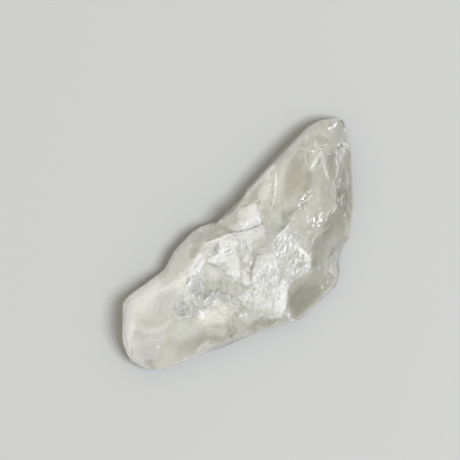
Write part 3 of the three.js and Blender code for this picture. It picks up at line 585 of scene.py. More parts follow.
drawnStrokes = [   # tone, milk, height in mm; then width and path, in pixels of the photograph
    # most strokes in bright and some in white are painted glints and highlights; some dark ones are painted
    # shadow beside steps
    ("cream", 0.9, 0.03, 1.6, [(124, 304), (126, 299), (130, 295)]),
    ("white", 0.92, 0.03, 1.6, [(123, 324), (123, 334), (123, 343), (125, 351), (129, 359)]),
    ("white", 1, 0.02, 1.3, [(236, 211), (240.5, 204), (245, 197), (250, 190), (257, 183), (262, 178)]),
    ("mauvePale", 0.85, 0.02, 1.8, [(264, 174), (269, 168), (274, 165)]),
    ("pale", 0.8, 0.03, 1.7, [(205, 354), (214, 349), (226, 345), (238, 341), (247, 338)]),
    ("pale", 0.8, 0.03, 1.7, [(162, 371), (175, 364), (190, 358), (204, 353), (216, 348)]),
    ("greenPale", 0.7, 0.02, 1.6, [(210, 357), (226, 351), (243, 345), (258, 338)]),
    ("greenPale", 0.7, 0.02, 1.5, [(286, 325), (296, 321)]),
    ("deepOlive", 0.6, 0.01, 3, [(347, 216), (347, 226), (345.5, 236)]),
    ("greenGrey", 0.7, 0.02, 1.8, [(344, 127), (348, 135), (350, 144)]),
    ("pale", 0.8, 0.02, 1.8, [(345, 128), (346, 132)]),
    ("white", 0.9, 0.02, 2.4, [(130, 325), (130, 329)]),
    ("white", 0.9, 0.02, 2.2, [(157, 346), (159, 347)]),
    ("deepGrey", 0.78, -0.03, 2, [(132, 347), (132, 354), (131, 360)]),
    ("grey", 0.8, -0.02, 2, [(152, 338), (158, 338)]),
    ("grey", 0.8, -0.02, 1.6, [(153, 341), (160, 341)]),
    ("grey", 0.8, -0.02, 2.4, [(139, 339), (145, 339)]),
    ("cream", 0.9, 0.03, 1.8, [(141, 303), (147, 301), (152, 299)]),
    ("khaki", 0.8, -0.02, 2, [(139, 299), (144, 301)]),
    ("greenGrey", 0.75, -0.04, 2.2, [(161, 275), (165, 276)]),
    # painted glints on the bulge
    ("bright", 1, 0.05, 2.6, [(169, 269.5), (170.5, 268.5)]),
    ("bright", 1, 0.04, 1.8, [(178, 272.5), (183, 272.5)]),
    ("cream", 0.9, 0.03, 2, [(171, 276), (175, 278), (181, 275)]),
    ("cream", 0.9, 0.03, 2, [(176, 280), (182, 283)]),
    ("deepGrey", 0.76, -0.01, 2, [(188, 278), (188, 281), (186, 284)]),
    ("pale", 0.88, 0, 1.8, [(193, 277), (191, 283), (190, 289)]),
    ("mauvePale", 0.86, 0.03, 2.6, [(184, 298), (190, 295)]),
    ("mauvePale", 0.86, 0.01, 2, [(178, 291), (177, 298), (178, 303)]),
    ("deepGrey", 0.74, -0.03, 1.6, [(182, 296), (184, 301), (182, 304)]),
    ("white", 0.95, 0.05, 1.8, [(192, 293), (194, 297)]),
    ("dark", 0.7, -0.06, 1.8, [(193, 291), (197, 289), (199, 290)]),
    ("dark", 0.68, -0.06, 2.2, [(208, 290), (215, 291), (220, 288)]),
    ("dark", 0.68, -0.05, 1.8, [(204, 297), (208, 295)]),
    ("deepGrey", 0.7, -0.05, 1.6, [(192, 298), (192, 303)]),
    ("white", 0.95, 0.06, 2, [(203, 303), (206, 300), (209, 297)]),
    ("pale", 0.9, 0.04, 1.6, [(198, 305), (203, 305), (207, 302)]),
    ("dark", 0.7, -0.05, 1.6, [(201, 304), (203, 303)]),
    ("deepGrey", 0.72, -0.04, 2, [(203, 307), (208, 305)]),
    ("pale", 0.94, 0.01, 1.6, [(214, 304), (219, 303)]),
    ("white", 0.94, 0.05, 2, [(230, 304), (233, 305)]),
    ("greenGrey", 0.7, -0.05, 1.8, [(223, 300), (224, 303)]),
    ("mauvePale", 0.86, 0.03, 1.8, [(227, 296), (229, 300), (233, 300)]),
    ("deepGrey", 0.72, -0.03, 1.6, [(226, 302), (230, 301), (235, 304)]),
    ("dark", 0.68, -0.06, 1.9, [(180, 313), (184, 314), (188, 311)]),
    ("dark", 0.68, -0.05, 1.6, [(186, 310), (190, 308)]),
    ("pale", 0.85, 0.05, 1.6, [(184, 306), (185, 309)]),
    ("pale", 0.85, 0.05, 1.6, [(187, 315), (191, 317)]),
    ("pale", 0.82, 0.01, 1.5, [(178, 309), (182, 308)]),
    ("greenGrey", 0.7, -0.04, 1.6, [(192, 312), (195, 310)]),
    # painted glint: the white star at the end of the pale vein
    ("bright", 1, 0.04, 2, [(200, 310), (202, 314), (204, 317)]),
    ("bright", 1, 0.04, 1.8, [(205, 311), (207, 310)]),
    ("white", 0.95, 0.04, 1.8, [(221, 309), (227, 307)]),
    ("white", 0.95, 0.04, 1.8, [(223, 313), (229, 311)]),
    ("khaki", 0.8, -0.04, 1.6, [(218, 311), (224, 315), (231, 313)]),
    ("white", 0.9, 0.03, 1.6, [(223, 318), (223.5, 322)]),
    ("white", 0.9, 0.03, 1.6, [(232, 310), (232, 314)]),
    ("khaki", 0.8, -0.03, 1.8, [(207, 327), (212, 324), (219, 324), (224, 325)]),
    ("khakiPale", 0.8, 0.03, 1.8, [(206, 330), (213, 327), (219, 327)]),
    ("deepOlive", 0.7, -0.04, 1.5, [(210, 328), (216, 326), (221, 328)]),
    ("dark", 0.66, -0.05, 1.8, [(233, 319), (233, 323)]),
    # painted glint
    ("bright", 1, 0.05, 2, [(239, 316.5), (242, 314)]),
    ("white", 1, 0.04, 2, [(245.5, 315), (246, 313)]),
    ("deepOlive", 0.66, -0.04, 1.6, [(240, 311), (243, 312)]),
    ("brown", 0.7, -0.02, 2, [(231, 326), (233, 331)]),
    ("black", 0.8, -0.06, 1.6, [(231, 335), (231.5, 337)]),
    ("brown", 0.72, -0.03, 2, [(226, 338), (229, 340)]),
    ("dark", 0.72, -0.04, 1.6, [(210, 338.5), (213, 338)]),
    ("dark", 0.72, -0.04, 1.6, [(219, 341.5), (221, 341)]),
    ("dark", 0.7, -0.04, 1.6, [(208, 343), (214, 343)]),
    ("dark", 0.7, -0.03, 1.6, [(224, 335), (225, 339)]),
    ("khaki", 0.75, -0.03, 1.6, [(234, 337), (238, 336)]),
    ("khakiPale", 0.7, 0.02, 2.4, [(197, 351), (202, 346), (208, 343)]),
    # painted glints on the bulge's top, with a darker mark between them
    ("bright", 1, 0.04, 2, [(199, 230.5), (201, 230)]),
    ("mauveDark", 0.78, -0.03, 2, [(201, 231), (205, 233)]),
    ("bright", 0.95, 0.05, 2.2, [(218, 223), (221, 221), (223, 219.5)]),
    # painted shadow along the break's upper edge, over sunk lines
    ("dark", 0.66, -0.07, 1.8, [(222, 228), (226, 229), (230, 230)]),
    ("dark", 0.7, -0.06, 2, [(229, 232), (231, 232.5), (233, 232)]),
    ("dark", 0.66, -0.06, 1.7, [(208, 241), (214, 239), (221, 237)]),
    ("khakiPale", 0.76, 0.03, 1.8, [(216, 233), (222, 231)]),
    ("deepOlive", 0.7, -0.04, 1.6, [(198, 246), (194, 252), (193, 258)]),
    ("greenGrey", 0.7, -0.04, 1.6, [(193, 257), (196, 256)]),
    ("deepGrey", 0.72, -0.09, 1.8, [(208, 263), (213, 265), (220, 267)]),
    ("pale", 0.86, 0.02, 2, [(214, 269), (217, 269)]),
    ("pale", 0.86, 0.03, 2, [(204, 272), (206, 274)]),
    ("pale", 0.86, 0.02, 2, [(212, 276), (216, 276)]),
    ("pale", 0.86, 0.03, 1.8, [(217, 279), (220, 278), (222, 278)]),
    ("pale", 0.88, 0.03, 1.8, [(216, 281), (219, 281)]),
    ("greenGrey", 0.7, -0.04, 1.6, [(217, 282), (222, 283)]),
    ("white", 0.9, 0.03, 1.6, [(223, 281), (223.5, 283)]),
    ("pale", 0.86, 0.03, 2, [(236, 281), (237.5, 280)]),
    ("pale", 0.82, 0.03, 2, [(211, 286), (213, 285)]),
    ("greenGrey", 0.72, -0.05, 1.8, [(222, 271), (226, 274), (229, 277)]),
    ("khakiPale", 0.8, 0.02, 2.4, [(198, 284), (194, 281)]),
    ("pale", 0.86, 0.03, 1.8, [(194, 288.5), (196, 288)]),
    ("white", 0.97, 0.05, 2.2, [(207, 243), (214, 240.5), (222, 238), (228, 235)]),
    ("grey", 0.84, -0.03, 1.6, [(225, 246.5), (228, 246), (230, 245.5)]),
    ("deepGrey", 0.84, -0.03, 1.8, [(224, 252), (227, 251), (231, 249)]),
    ("deepGrey", 0.8, -0.04, 2, [(232, 240), (234, 240)]),
    ("deepGrey", 0.8, -0.04, 2, [(236.5, 239.5), (238, 239)]),
    ("grey", 0.88, -0.02, 1.5, [(225, 240), (229, 238), (232, 239)]),
    ("grey", 0.84, -0.03, 1.6, [(236, 235), (242, 235)]),
    ("mauve", 0.88, -0.02, 1.5, [(226, 255), (231, 254), (234, 251)]),
    ("grey", 0.84, -0.03, 1.5, [(218, 258), (219, 261)]),
    ("deepGrey", 0.8, -0.06, 1.6, [(239, 250), (240, 255), (241, 260), (243, 263)]),
    ("grey", 0.84, -0.05, 1.5, [(240, 264), (240, 270), (241, 276), (241, 282)]),
    ("pale", 0.9, 0.03, 1.6, [(243, 256), (244, 261)]),
    ("deepGrey", 0.8, -0.05, 1.6, [(245, 245), (247, 249)]),
    ("white", 0.93, 0.04, 1.6, [(241, 242), (242, 249)]),
    ("white", 0.93, 0.04, 1.6, [(247, 241), (248, 246), (250, 250)]),
    ("deepGrey", 0.8, -0.04, 1.5, [(252, 243), (253, 250), (252, 256)]),
    ("pale", 0.9, 0.04, 1.5, [(250, 252), (250, 258)]),
    ("grey", 0.82, -0.04, 1.5, [(258, 246), (263, 247), (267, 245)]),
    ("pale", 0.86, 0.03, 1.5, [(259, 242), (263, 243)]),
    # painted shadow cast by the step beside the crack, over sunk lines
    ("dark", 0.76, -0.05, 1.9, [(255, 255), (258, 254), (261, 254)]),
    ("deepGrey", 0.78, -0.01, 2, [(254, 262), (255, 258), (254, 256)]),
    ("dark", 0.78, -0.01, 1.8, [(251, 272), (252, 268), (254, 263)]),
    ("deepGrey", 0.78, -0.03, 1.8, [(249, 281), (251, 276), (252, 272)]),
    ("deepGrey", 0.78, -0.03, 1.8, [(240, 284), (244, 286), (248, 284)]),
    ("deepGrey", 0.78, -0.05, 1.6, [(247, 271), (248, 275)]),
    ("bright", 1, 0.06, 2.2, [(248, 278.5), (249, 278)]),
    ("white", 0.95, 0.04, 2, [(244, 282), (247, 282.5)]),
    ("pale", 0.88, 0.03, 2.2, [(250, 284), (253, 281)]),
    ("deepGrey", 0.78, -0.04, 1.6, [(251, 288.5), (255, 288)]),
    # painted shadow along the break's upper edge, over sunk lines
    ("dark", 0.72, -0.08, 1.7, [(234, 232), (240, 231.5), (246, 230), (250, 228.5)]),
    ("dark", 0.74, -0.06, 1.6, [(250, 228.5), (255, 227), (259, 225), (264, 223)]),
    ("grey", 0.84, -0.04, 1.5, [(243, 229), (248, 226), (253, 224)]),
    ("deepGrey", 0.78, -0.04, 1.6, [(255, 231), (257, 231)]),
    ("deepGrey", 0.8, -0.04, 1.6, [(265, 234), (268, 233)]),
    # painted glint
    ("bright", 0.97, 0.04, 2, [(240, 224.5), (241, 224)]),
    ("white", 0.94, 0.04, 2, [(251, 210), (254, 214), (254, 221)]),
    ("white", 0.94, 0.02, 1.8, [(246, 221), (250, 218), (253, 215)]),
    ("greenPale", 0.84, -0.02, 1.8, [(244, 213), (246, 217), (243, 221)]),
    ("white", 1, 0.04, 2, [(262, 216.5), (263, 219)]),
    ("pale", 0.88, 0.04, 1.7, [(238, 222), (236, 224)]),
    ("grey", 0.84, -0.07, 1.8, [(194, 270), (198, 263), (201, 258)]),
    ("white", 0.96, 0.02, 1.5, [(190, 273), (192, 266), (196, 260)]),
    ("white", 0.96, 0.02, 1.5, [(196, 271), (200, 265), (204, 259)]),
    ("deepOlive", 0.7, -0.05, 1.6, [(194, 257), (198, 252)]),
    ("khaki", 0.8, -0.04, 1.5, [(205, 247), (204, 252)]),
    ("pale", 0.86, 0.04, 1.5, [(208, 246), (206, 252)]),
    ("khaki", 0.8, -0.04, 1.5, [(211, 247), (209, 253)]),
    ("pale", 0.86, 0.04, 1.5, [(213, 245), (211, 250)]),
    ("khaki", 0.8, -0.05, 1.7, [(207, 256), (211, 257), (214, 254)]),
    ("white", 0.97, 0.04, 2.4, [(275.5, 172), (275.8, 179), (275.5, 187), (274.5, 196), (273, 203),
        (271, 210)]),
    ("bright", 1, 0.06, 1.8, [(275.5, 173), (276, 178), (276, 186)]),
    ("deepOlive", 0.7, -0.04, 1.5, [(272, 170), (271, 176)]),
    ("greenGrey", 0.74, -0.04, 1.6, [(265, 177), (263, 182), (261, 186)]),
    # painted glint
    ("bright", 0.97, 0.04, 1.8, [(269.5, 184), (270.5, 184.5)]),
    ("pale", 0.84, 0.04, 1.9, [(258, 203), (262, 201), (266, 198)]),
    ("deepOlive", 0.68, -0.05, 1.7, [(256, 204), (259, 203), (261, 200)]),
    ("greenGrey", 0.66, -0.03, 2.6, [(282, 213), (282.5, 220), (281.5, 226)]),
    ("dark", 0.64, -0.05, 1.7, [(283, 214), (283, 221)]),
    ("deepOlive", 0.66, -0.04, 2, [(287, 216), (292, 213), (297, 209)]),
    ("khakiPale", 0.74, 0.02, 2, [(285, 200), (286, 207)]),
    ("khakiPale", 0.74, 0.02, 2, [(269, 226), (271, 216)]),
    ("olive", 0.7, -0.02, 1.8, [(266, 207), (266, 215)]),
    ("khakiPale", 0.76, 0.03, 1.6, [(305, 151), (305, 158), (305.5, 166)]),
    ("deepOlive", 0.64, -0.03, 2, [(308, 153), (308, 160)]),
    ("khakiPale", 0.76, 0.03, 1.6, [(299, 147), (303, 149), (307, 149), (311, 147)]),
    ("deepOlive", 0.66, -0.03, 1.5, [(300, 144), (304, 146)]),
    ("deepOlive", 0.66, -0.03, 1.5, [(299, 151), (303, 152)]),
    # painted glint
    ("bright", 1, 0.06, 2.4, [(311.5, 151.5), (314, 151.5)]),
    ("pale", 0.82, 0.04, 1.6, [(308, 150), (311, 151)]),
    ("frost", 0.92, 0.05, 3.8, [(320.5, 152.5), (318, 157), (315, 162), (312.5, 166), (310, 170)]),
    ("bright", 1, 0.05, 2, [(313.5, 164), (311, 168)]),
    ("mauvePale", 0.86, 0.05, 4, [(321, 151), (321.5, 157), (323, 164), (324.5, 170)]),
    ("frost", 0.93, 0.04, 3.3, [(323.5, 165), (324.5, 170), (326, 174), (328, 178)]),
    ("deepOlive", 0.62, -0.06, 2.4, [(319.5, 157), (319, 162), (317, 166)]),
    ("pale", 0.84, 0.04, 1.5, [(318, 167.5), (320, 165)]),
    ("white", 0.92, 0.04, 1.6, [(321, 150), (322, 148.5)]),
    ("dark", 0.64, -0.06, 1.6, [(320, 147.5), (323, 147.5)]),
    ("khakiPale", 0.8, 0.04, 1.6, [(319, 134), (323, 134.5), (329, 136.5)]),
    ("dark", 0.66, -0.05, 1.7, [(317.5, 135), (319, 135)]),
    ("pale", 0.84, 0.05, 1.6, [(322, 146), (325, 145.5), (328, 144)]),
    ("greenPale", 0.74, 0.02, 2.6, [(315, 140), (315, 147)]),
    ("greenGrey", 0.7, -0.02, 2.4, [(308, 130), (311, 136)]),
    ("khakiPale", 0.76, 0.02, 2, [(306, 136), (307, 141)]),
    # painted glints at the tip
    ("bright", 1, 0.08, 2.5, [(328.5, 129.5), (330, 128), (332, 126.8)]),
    ("bright", 1, 0.08, 2.4, [(334, 127.5), (335, 125), (337, 122.5)]),
    ("dark", 0.66, -0.05, 1.8, [(329, 126), (331, 123.5)]),
    ("pale", 0.8, 0.04, 1.6, [(331, 131), (333, 132)]),
    ("black", 0.9, -0.12, 2.2, [(338.2, 148.5), (339, 147.3)]),
    ("black", 0.9, -0.12, 2.6, [(341, 146.3), (342.2, 145)]),
    ("bright", 1, 0.06, 2, [(344, 144.5), (345, 143)]),
    ("white", 0.95, 0.05, 1.8, [(340, 143.5), (338, 145)]),
    ("pale", 0.86, 0.04, 1.7, [(343, 142.5), (347, 144), (349, 147)]),
    ("pale", 0.86, 0.04, 1.6, [(343, 148), (344.5, 151), (343.5, 154)]),
    ("deepGrey", 0.7, -0.04, 1.6, [(340, 150), (341.5, 153)]),
    ("pale", 0.88, 0.05, 2.2, [(345, 148.5), (346.5, 146.5)]),
    ("dark", 0.7, -0.05, 1.8, [(347, 149), (348, 148)]),
    ("white", 0.9, 0.05, 1.6, [(337, 150), (336.5, 155)]),
    ("mauvePale", 0.84, 0.04, 1.6, [(326, 154), (331, 154)]),
    ("pale", 0.84, 0.03, 1.4, [(335.5, 158), (336.5, 163), (338, 168)]),
    ("pale", 0.84, 0.03, 1.4, [(338, 166), (337, 172), (335.5, 178)]),
    ("deepOlive", 0.62, -0.04, 1.6, [(338.5, 160), (339.5, 164)]),
    ("pale", 0.9, 0.04, 1.5, [(333.5, 179), (333, 184), (334, 189)]),
    ("pale", 0.84, 0.04, 1.7, [(341, 178), (339, 183)]),
    ("pale", 0.8, 0.04, 1.8, [(337, 187), (340, 186)]),
    ("dark", 0.62, -0.05, 1.9, [(336, 181), (337, 186)]),
    ("khakiPale", 0.7, 0.02, 1.5, [(344, 162), (343, 168), (341.5, 174)]),
    ("dark", 0.62, -0.02, 4, [(343.5, 164), (343.5, 174), (344, 184)]),
    ("olive", 0.66, 0.03, 1.6, [(348, 178), (348, 186)]),
    ("dark", 0.6, -0.05, 2.4, [(336, 191.5), (338.5, 190), (340.5, 188.5)]),
    ("dark", 0.5, -0.03, 2.4, [(343, 193), (346, 194.5)]),
    # painted glints along the ridge, with dark marks between them
    ("bright", 1, 0.07, 2.4, [(297.5, 206.5), (300, 204.5)]),
    ("dark", 0.7, -0.07, 1.8, [(300, 206), (303, 204.5)]),
    ("white", 0.92, 0.05, 1.7, [(300.5, 203), (302, 201.5), (304.5, 201.5), (306, 199.5)]),
    ("dark", 0.7, -0.05, 1.6, [(301.5, 201.5), (303.5, 200.3)]),
    ("white", 0.9, 0.02, 1.3, [(301, 199.5), (303, 197.5), (304.5, 195.5)]),
    ("dark", 0.7, -0.06, 1.8, [(304.5, 204), (306.5, 201.5)]),
    ("dark", 0.68, -0.05, 1.5, [(303.5, 199.5), (306, 198)]),
    ("white", 0.96, 0.03, 1.7, [(304.5, 196.5), (305, 195)]),
    ("bright", 1, 0.05, 2.2, [(308, 193), (308.6, 192)]),
    ("white", 0.95, 0.05, 2.2, [(310.5, 196.5), (311.2, 195.5)]),
    ("deepOlive", 0.64, -0.05, 1.6, [(304, 193), (305, 192)]),
    ("pale", 0.82, 0.03, 2, [(306, 201), (309, 198), (312, 196)]),
    ("mauvePale", 0.82, 0.03, 2.6, [(304, 207), (306, 213)]),
    # painted glint where the second face meets the side
    ("bright", 1, 0.05, 2.6, [(322, 212.5), (320, 215), (318, 217.5)]),
    ("bright", 1, 0.05, 2.4, [(318.3, 217.5), (320, 220), (321.5, 222)]),
    ("bright", 1, 0.06, 2.2, [(318, 226.5), (319, 225)]),
    ("white", 0.92, 0.05, 2, [(316.5, 223), (318.5, 220.5)]),
    ("dark", 0.7, -0.06, 1.8, [(319, 222), (321, 224)]),
    ("dark", 0.7, -0.05, 1.6, [(316, 220), (317.5, 219)]),
    ("pale", 0.84, 0.04, 1.6, [(314.5, 216), (313.5, 221)]),
    ("mauvePale", 0.82, 0.03, 2.4, [(317, 209), (320, 208.5)]),
    ("pale", 0.84, 0.04, 1.9, [(327, 217.5), (325, 222)]),
    ("khakiPale", 0.76, 0.04, 1.6, [(331, 208), (328, 213), (326, 217)]),
    ("mauvePale", 0.84, 0.04, 2, [(336.5, 205), (334.5, 209), (332, 213.5)]),
    ("deepOlive", 0.6, -0.04, 1.7, [(333, 209), (330, 214), (327, 219)]),
    ("deepOlive", 0.62, -0.03, 1.7, [(321, 228), (325, 222)]),
    ("olive", 0.62, -0.01, 1.7, [(331, 224), (326, 229), (320, 233), (314, 238)]),
    ("khakiPale", 0.78, 0.02, 1.8, [(318, 197), (319, 203)]),
    ("khaki", 0.7, 0.02, 1.8, [(325, 185), (326, 192)]),
    ("cream", 0.84, 0.04, 2, [(292, 219.5), (293, 217.5)]),
    ("white", 0.92, 0.05, 2.2, [(287, 226), (284, 231), (281, 235)]),
    ("deepGrey", 0.6, -0.03, 1.8, [(349, 208), (350, 214)]),
    ("khaki", 0.6, 0.03, 1.6, [(346, 212), (344, 217)]),
    ("pale", 0.74, 0.03, 1.6, [(343, 195), (341, 200), (342, 206)]),
    ("khaki", 0.55, 0.02, 2, [(338, 197), (338, 203)]),
    ("dark", 0.45, -0.02, 3, [(342, 199), (345, 204)]),
    ("greenGrey", 0.6, 0.03, 2, [(321, 236), (322, 235)]),
    ("greenGrey", 0.6, 0.03, 2, [(322, 246), (323, 245.5)]),
    ("dark", 0.5, -0.03, 2, [(314, 241), (315, 244)]),
    ("black", 0.95, -0.05, 1.7, [(335, 250.5), (331.5, 254.5), (330, 256.5)]),
    ("dark", 0.95, -0.05, 1.6, [(330, 257), (329, 261), (329.5, 266)]),
    ("pale", 0.85, 0.06, 1.8, [(329, 268.5), (331, 271.5), (334, 274), (336.5, 277.5)]),
    ("pale", 0.8, 0.04, 1.6, [(330.5, 253.5), (329, 256)]),
    ("dark", 0.6, -0.05, 1.6, [(337, 258), (337.5, 266), (337, 273)]),
    ("greenGrey", 0.6, 0.02, 3, [(333, 258), (332, 264)]),
    ("grey", 0.6, 0.02, 3.4, [(319, 266), (318, 270)]),
    ("white", 0.9, 0.04, 1.7, [(322, 285), (322.5, 289)]),
    ("pale", 0.8, 0.03, 1.7, [(327, 284), (328, 281)]),
    ("dark", 0.5, -0.01, 2.4, [(297.5, 297), (298.5, 297.5)]),
    ("dark", 0.5, -0.01, 2.4, [(306, 293.5), (307, 294)]),
    ("dark", 0.5, -0.01, 2.2, [(294, 306), (295, 307)]),
    # painted glint at the window's edge
    ("bright", 1, 0.03, 1.6, [(288, 312), (289, 317), (290.5, 320)]),
    ("white", 0.95, 0.06, 2, [(291, 321), (294, 319.5)]),
    ("dark", 0.6, -0.05, 1.8, [(290, 323), (292, 322)]),
    ("white", 0.94, 0.06, 2.4, [(283, 230), (280, 234), (277, 238)]),
    ("dark", 0.78, -0.05, 1.7, [(261, 276.5), (265, 275), (267, 274)]),
    ("deepGrey", 0.8, -0.04, 1.6, [(281, 260), (285, 256)]),
    ("dark", 0.76, -0.05, 2, [(293, 251), (291, 255), (288.5, 260)]),
    ("mauvePale", 0.9, 0.06, 4, [(293, 245), (290, 250), (286.5, 256)]),
    ("grey", 0.82, -0.04, 2, [(291, 262), (290, 268)]),
    # painted highlight round the oval pit's rim
    ("bright", 1, 0.04, 2.6, [(298, 247), (302, 249.5), (305, 254), (306.5, 259)]),
    ("pale", 0.9, 0.03, 2, [(306.5, 259), (308, 264), (308.5, 268)]),
    ("white", 0.95, 0.03, 2.2, [(298, 250), (295.5, 257), (295.5, 264)]),
    ("bright", 1, 0.05, 2, [(299, 250), (300, 247.5)]),
    ("bright", 1, 0.06, 2.6, [(302, 253), (303, 249)]),
    ("bright", 1, 0.03, 3.6, [(297.5, 248.5), (300.5, 250.5), (303, 254)]),
    ("bright", 1, 0.05, 2.2, [(305, 257), (306, 254)]),
    ("bright", 1, 0.05, 2.2, [(305.5, 260.5), (306, 259.5)]),
    ("bright", 1, 0.05, 2.2, [(295.5, 262), (297, 258)]),
    ("bright", 0.98, 0.05, 1.8, [(296.5, 264), (296, 260)]),
    ("white", 0.95, 0.05, 2, [(308, 267), (308.5, 264)]),
    ("bright", 0.98, 0.05, 2, [(292, 274.5), (293, 273)]),
    ("bright", 0.98, 0.05, 1.8, [(296.3, 273), (296.8, 270.5)]),
    ("deepGrey", 0.74, -0.05, 2, [(300, 262), (300.5, 268)]),
    ("deepGrey", 0.74, -0.04, 2, [(304, 262), (304, 269)]),
    ("white", 0.95, 0.05, 2, [(288, 239.5), (289, 238)]),
    ("white", 0.95, 0.05, 2, [(308, 232.5), (309, 231.5)]),
    ("white", 0.92, 0.04, 1.8, [(295, 233), (295.5, 231.5)]),
    ("white", 0.95, 0.05, 2, [(285.5, 246), (286, 243.5)]),
    ("white", 0.94, 0.04, 2, [(264, 257), (268, 257)]),
    ("white", 0.94, 0.04, 2, [(269, 268), (271, 267)]),
    ("deepGrey", 0.8, -0.04, 1.5, [(266, 293), (266, 299)]),
    ("deepGrey", 0.8, -0.04, 1.5, [(270, 289), (270, 296)]),
    ("deepGrey", 0.8, -0.04, 1.5, [(273, 302), (273, 310)]),
    ("white", 0.95, 0.04, 1.6, [(268, 300), (268, 309)]),
    ("white", 0.95, 0.04, 1.6, [(275.5, 290), (275.5, 302)]),
    ("white", 0.97, 0.05, 2.2, [(282, 286), (282.5, 300), (281.5, 310)]),
    ("white", 0.97, 0.05, 2, [(286, 287), (285.5, 299)]),
    ("grey", 0.82, -0.04, 1.5, [(279, 288), (278.5, 300)]),
    ("dark", 0.76, -0.05, 1.8, [(282, 314), (283, 316)]),
    ("white", 0.92, 0.04, 1.6, [(258, 296), (257.5, 303)]),
    ("deepGrey", 0.8, -0.03, 1.5, [(247, 299), (246.5, 305)]),
    ("deepGrey", 0.8, -0.03, 1.5, [(252, 291), (251.5, 296)]),
]
strokes = [(*look, round(width * photograph["strokePixel"], photograph["strokeDigits"]),
            [onPart(place, photograph["strokeDigits"]) for place in path])
           for *look, width, path in drawnStrokes]


def nearTo(points, path, reach):
    # the points near enough to a path or outline to be touched by it
    box = np.array(path)
    low, high = box.min(0) - reach, box.max(0) + reach
    return np.flatnonzero(((points[:, :2] > low) & (points[:, :2] < high)).all(1))


def regionShares(points, region, soft):
    # 1 inside the outline, 0 outside, eased over the border
    near = nearTo(points, region["corners"], soft)
    depth = insideBy(points[near, 0], points[near, 1], region["corners"])
    return near, ease(depth, -soft / 2, soft / 2)


def strokeShares(points, path, width):
    # 1 on a line and 0 away from it, eased over its edge; the width tapers towards both ends
    tip, taper, core, edge = 0.35, 2, 0.25, 0.85
    near = nearTo(points, path, width)
    place = points[near, :2]
    path = np.array(path)
    lengths = np.linalg.norm(np.diff(path, axis=0), axis=1)
    starts = np.concatenate([[0], np.cumsum(lengths)])
    distance, run = np.full(len(near), np.inf), np.zeros(len(near))
    for n, length in enumerate(lengths):
        step = (path[n + 1] - path[n]) / length
        along = np.clip((place - path[n]) @ step, 0, length)
        gap = np.linalg.norm(place - path[n] - along[:, None] * step, axis=1)
        closer = gap < distance
        distance = np.where(closer, gap, distance)
        run = np.where(closer, starts[n] + along, run)
    t = run / starts[-1]
    width = width * np.minimum(1, tip + taper * np.minimum(t, 1 - t))
    return near, 1 - ease(distance, width * core, width * edge)


def warped(points, reach, size, seed):
    # shifts each point sideways by noise, so that a border drawn straight comes out ragged
    shift = [fractal(points, size, seed + 10 * axis, 3) * reach for axis in range(2)]
    return np.stack([points[:, 0] + shift[0], points[:, 1] + shift[1], points[:, 2]], axis=1)


# fine relief, pushed along the normals, in mm

relief = {
    "swellSize": 2.4, "swell": 0.04,        # the broad unevenness of a clean break
    "faceSize": 0.7,                        # the small broken faces of a rough area
    "grainSize": 0.26, "grain": 0.04,       # the sugary grain of a frosted area
    "grooveSpacing": 0.34, "groove": 0.05, "grooveCompass": 43, "grooveLength": 6,
    "strokeLift": 0.6,                      # share of a stroke's own height that is raised
    "ragged": 0.12, "raggedSize": 0.9,      # how far and how finely the borders wander
    "dropBorder": 0.22, "roughBorder": 0.3, "grooveBorder": 1.0, "grainBorder": 0.6,
    "topFacing": (-0.2, 0.1),               # upward parts of the normals between which the relief comes in
    "fade": 1.0,                            # height over which it comes in above the floor
}


def combed(points, stretch):
    # the place measured across the grooves and, stretch times shorter, along them, which draws noise out
    angle = math.radians(relief["grooveCompass"])
    across = points[:, 1] * math.cos(angle) - points[:, 0] * math.sin(angle)
    along = points[:, 0] * math.cos(angle) + points[:, 1] * math.sin(angle)
    return np.stack([across, along / stretch, along * 0], axis=1)


def raiseRelief(ring):
    # point + normal * (swell - drops + broken faces - grooves + grain + strokes); all but the swell come
    # times their area's share and only where the surface faces up, and all fades out towards the floor
    flat = ring.reshape(-1, 3)
    facing = gridNormals(ring).reshape(-1, 3)
    onTop = ease(facing[:, 2], *relief["topFacing"])
    ragged = warped(flat, relief["ragged"], relief["raggedSize"], seeds["borders"])
    lift = fractal(flat, relief["swellSize"], seeds["swell"], 3) * relief["swell"]
    for region in regions.values():
        near, share = regionShares(ragged, region, relief["dropBorder"])
        share = share * onTop[near]
        lift[near] -= share * region.get("drop", 0)
        if "rough" in region:
            near, share = regionShares(ragged, region, region["soft"] + relief["roughBorder"])
            broken = brokenFaces(flat[near], relief["faceSize"], seeds["faces"]) * region["rough"]
            lift[near] += broken * share * onTop[near]
        if "grooves" in region:
            near, share = regionShares(ragged, region, relief["grooveBorder"])
            drawn = combed(flat[near], relief["grooveLength"])
            hollows = np.abs(fractal(drawn, relief["grooveSpacing"], seeds["grooves"], 2))
            lift[near] -= hollows * relief["groove"] * region["grooves"] * share * onTop[near]
        if "grain" in region:
            near, share = regionShares(ragged, region, relief["grainBorder"])
            grain = fractal(flat[near], relief["grainSize"], seeds["grain"], 2) * relief["grain"]
            lift[near] += grain * region["grain"] * share * onTop[near]
    for _, _, height, width, path in strokes:
        near, share = strokeShares(ragged, path, width)
        lift[near] += share * height * relief["strokeLift"] * onTop[near]
    above = ease(flat[:, 2], skin["restHeight"], skin["restHeight"] + relief["fade"])
    return (flat + facing * (lift * above)[:, None]).reshape(ring.shape)


def paintedLightOf(facing):
    # the light that reaches a face from outside is sky share * (1 + up) / 2 + key share * (facing . key);
    # painted light: the tone is raised where that is low, standing in for the light that passes through
    # the quartz and makes up for most of what a turned face misses
    key = facingVector(keyFrom["compass"], 90 - keyFrom["height"])
    share = paintedEvenLight["keyShare"]
    light = (1 - share) * (1 + facing[:, 2]) / 2 + share * np.maximum(facing @ key, 0) / key[2]
    return paintedEvenLight["level"] * np.maximum(light, paintedEvenLight["darkest"]) ** -paintedEvenLight["evenness"]


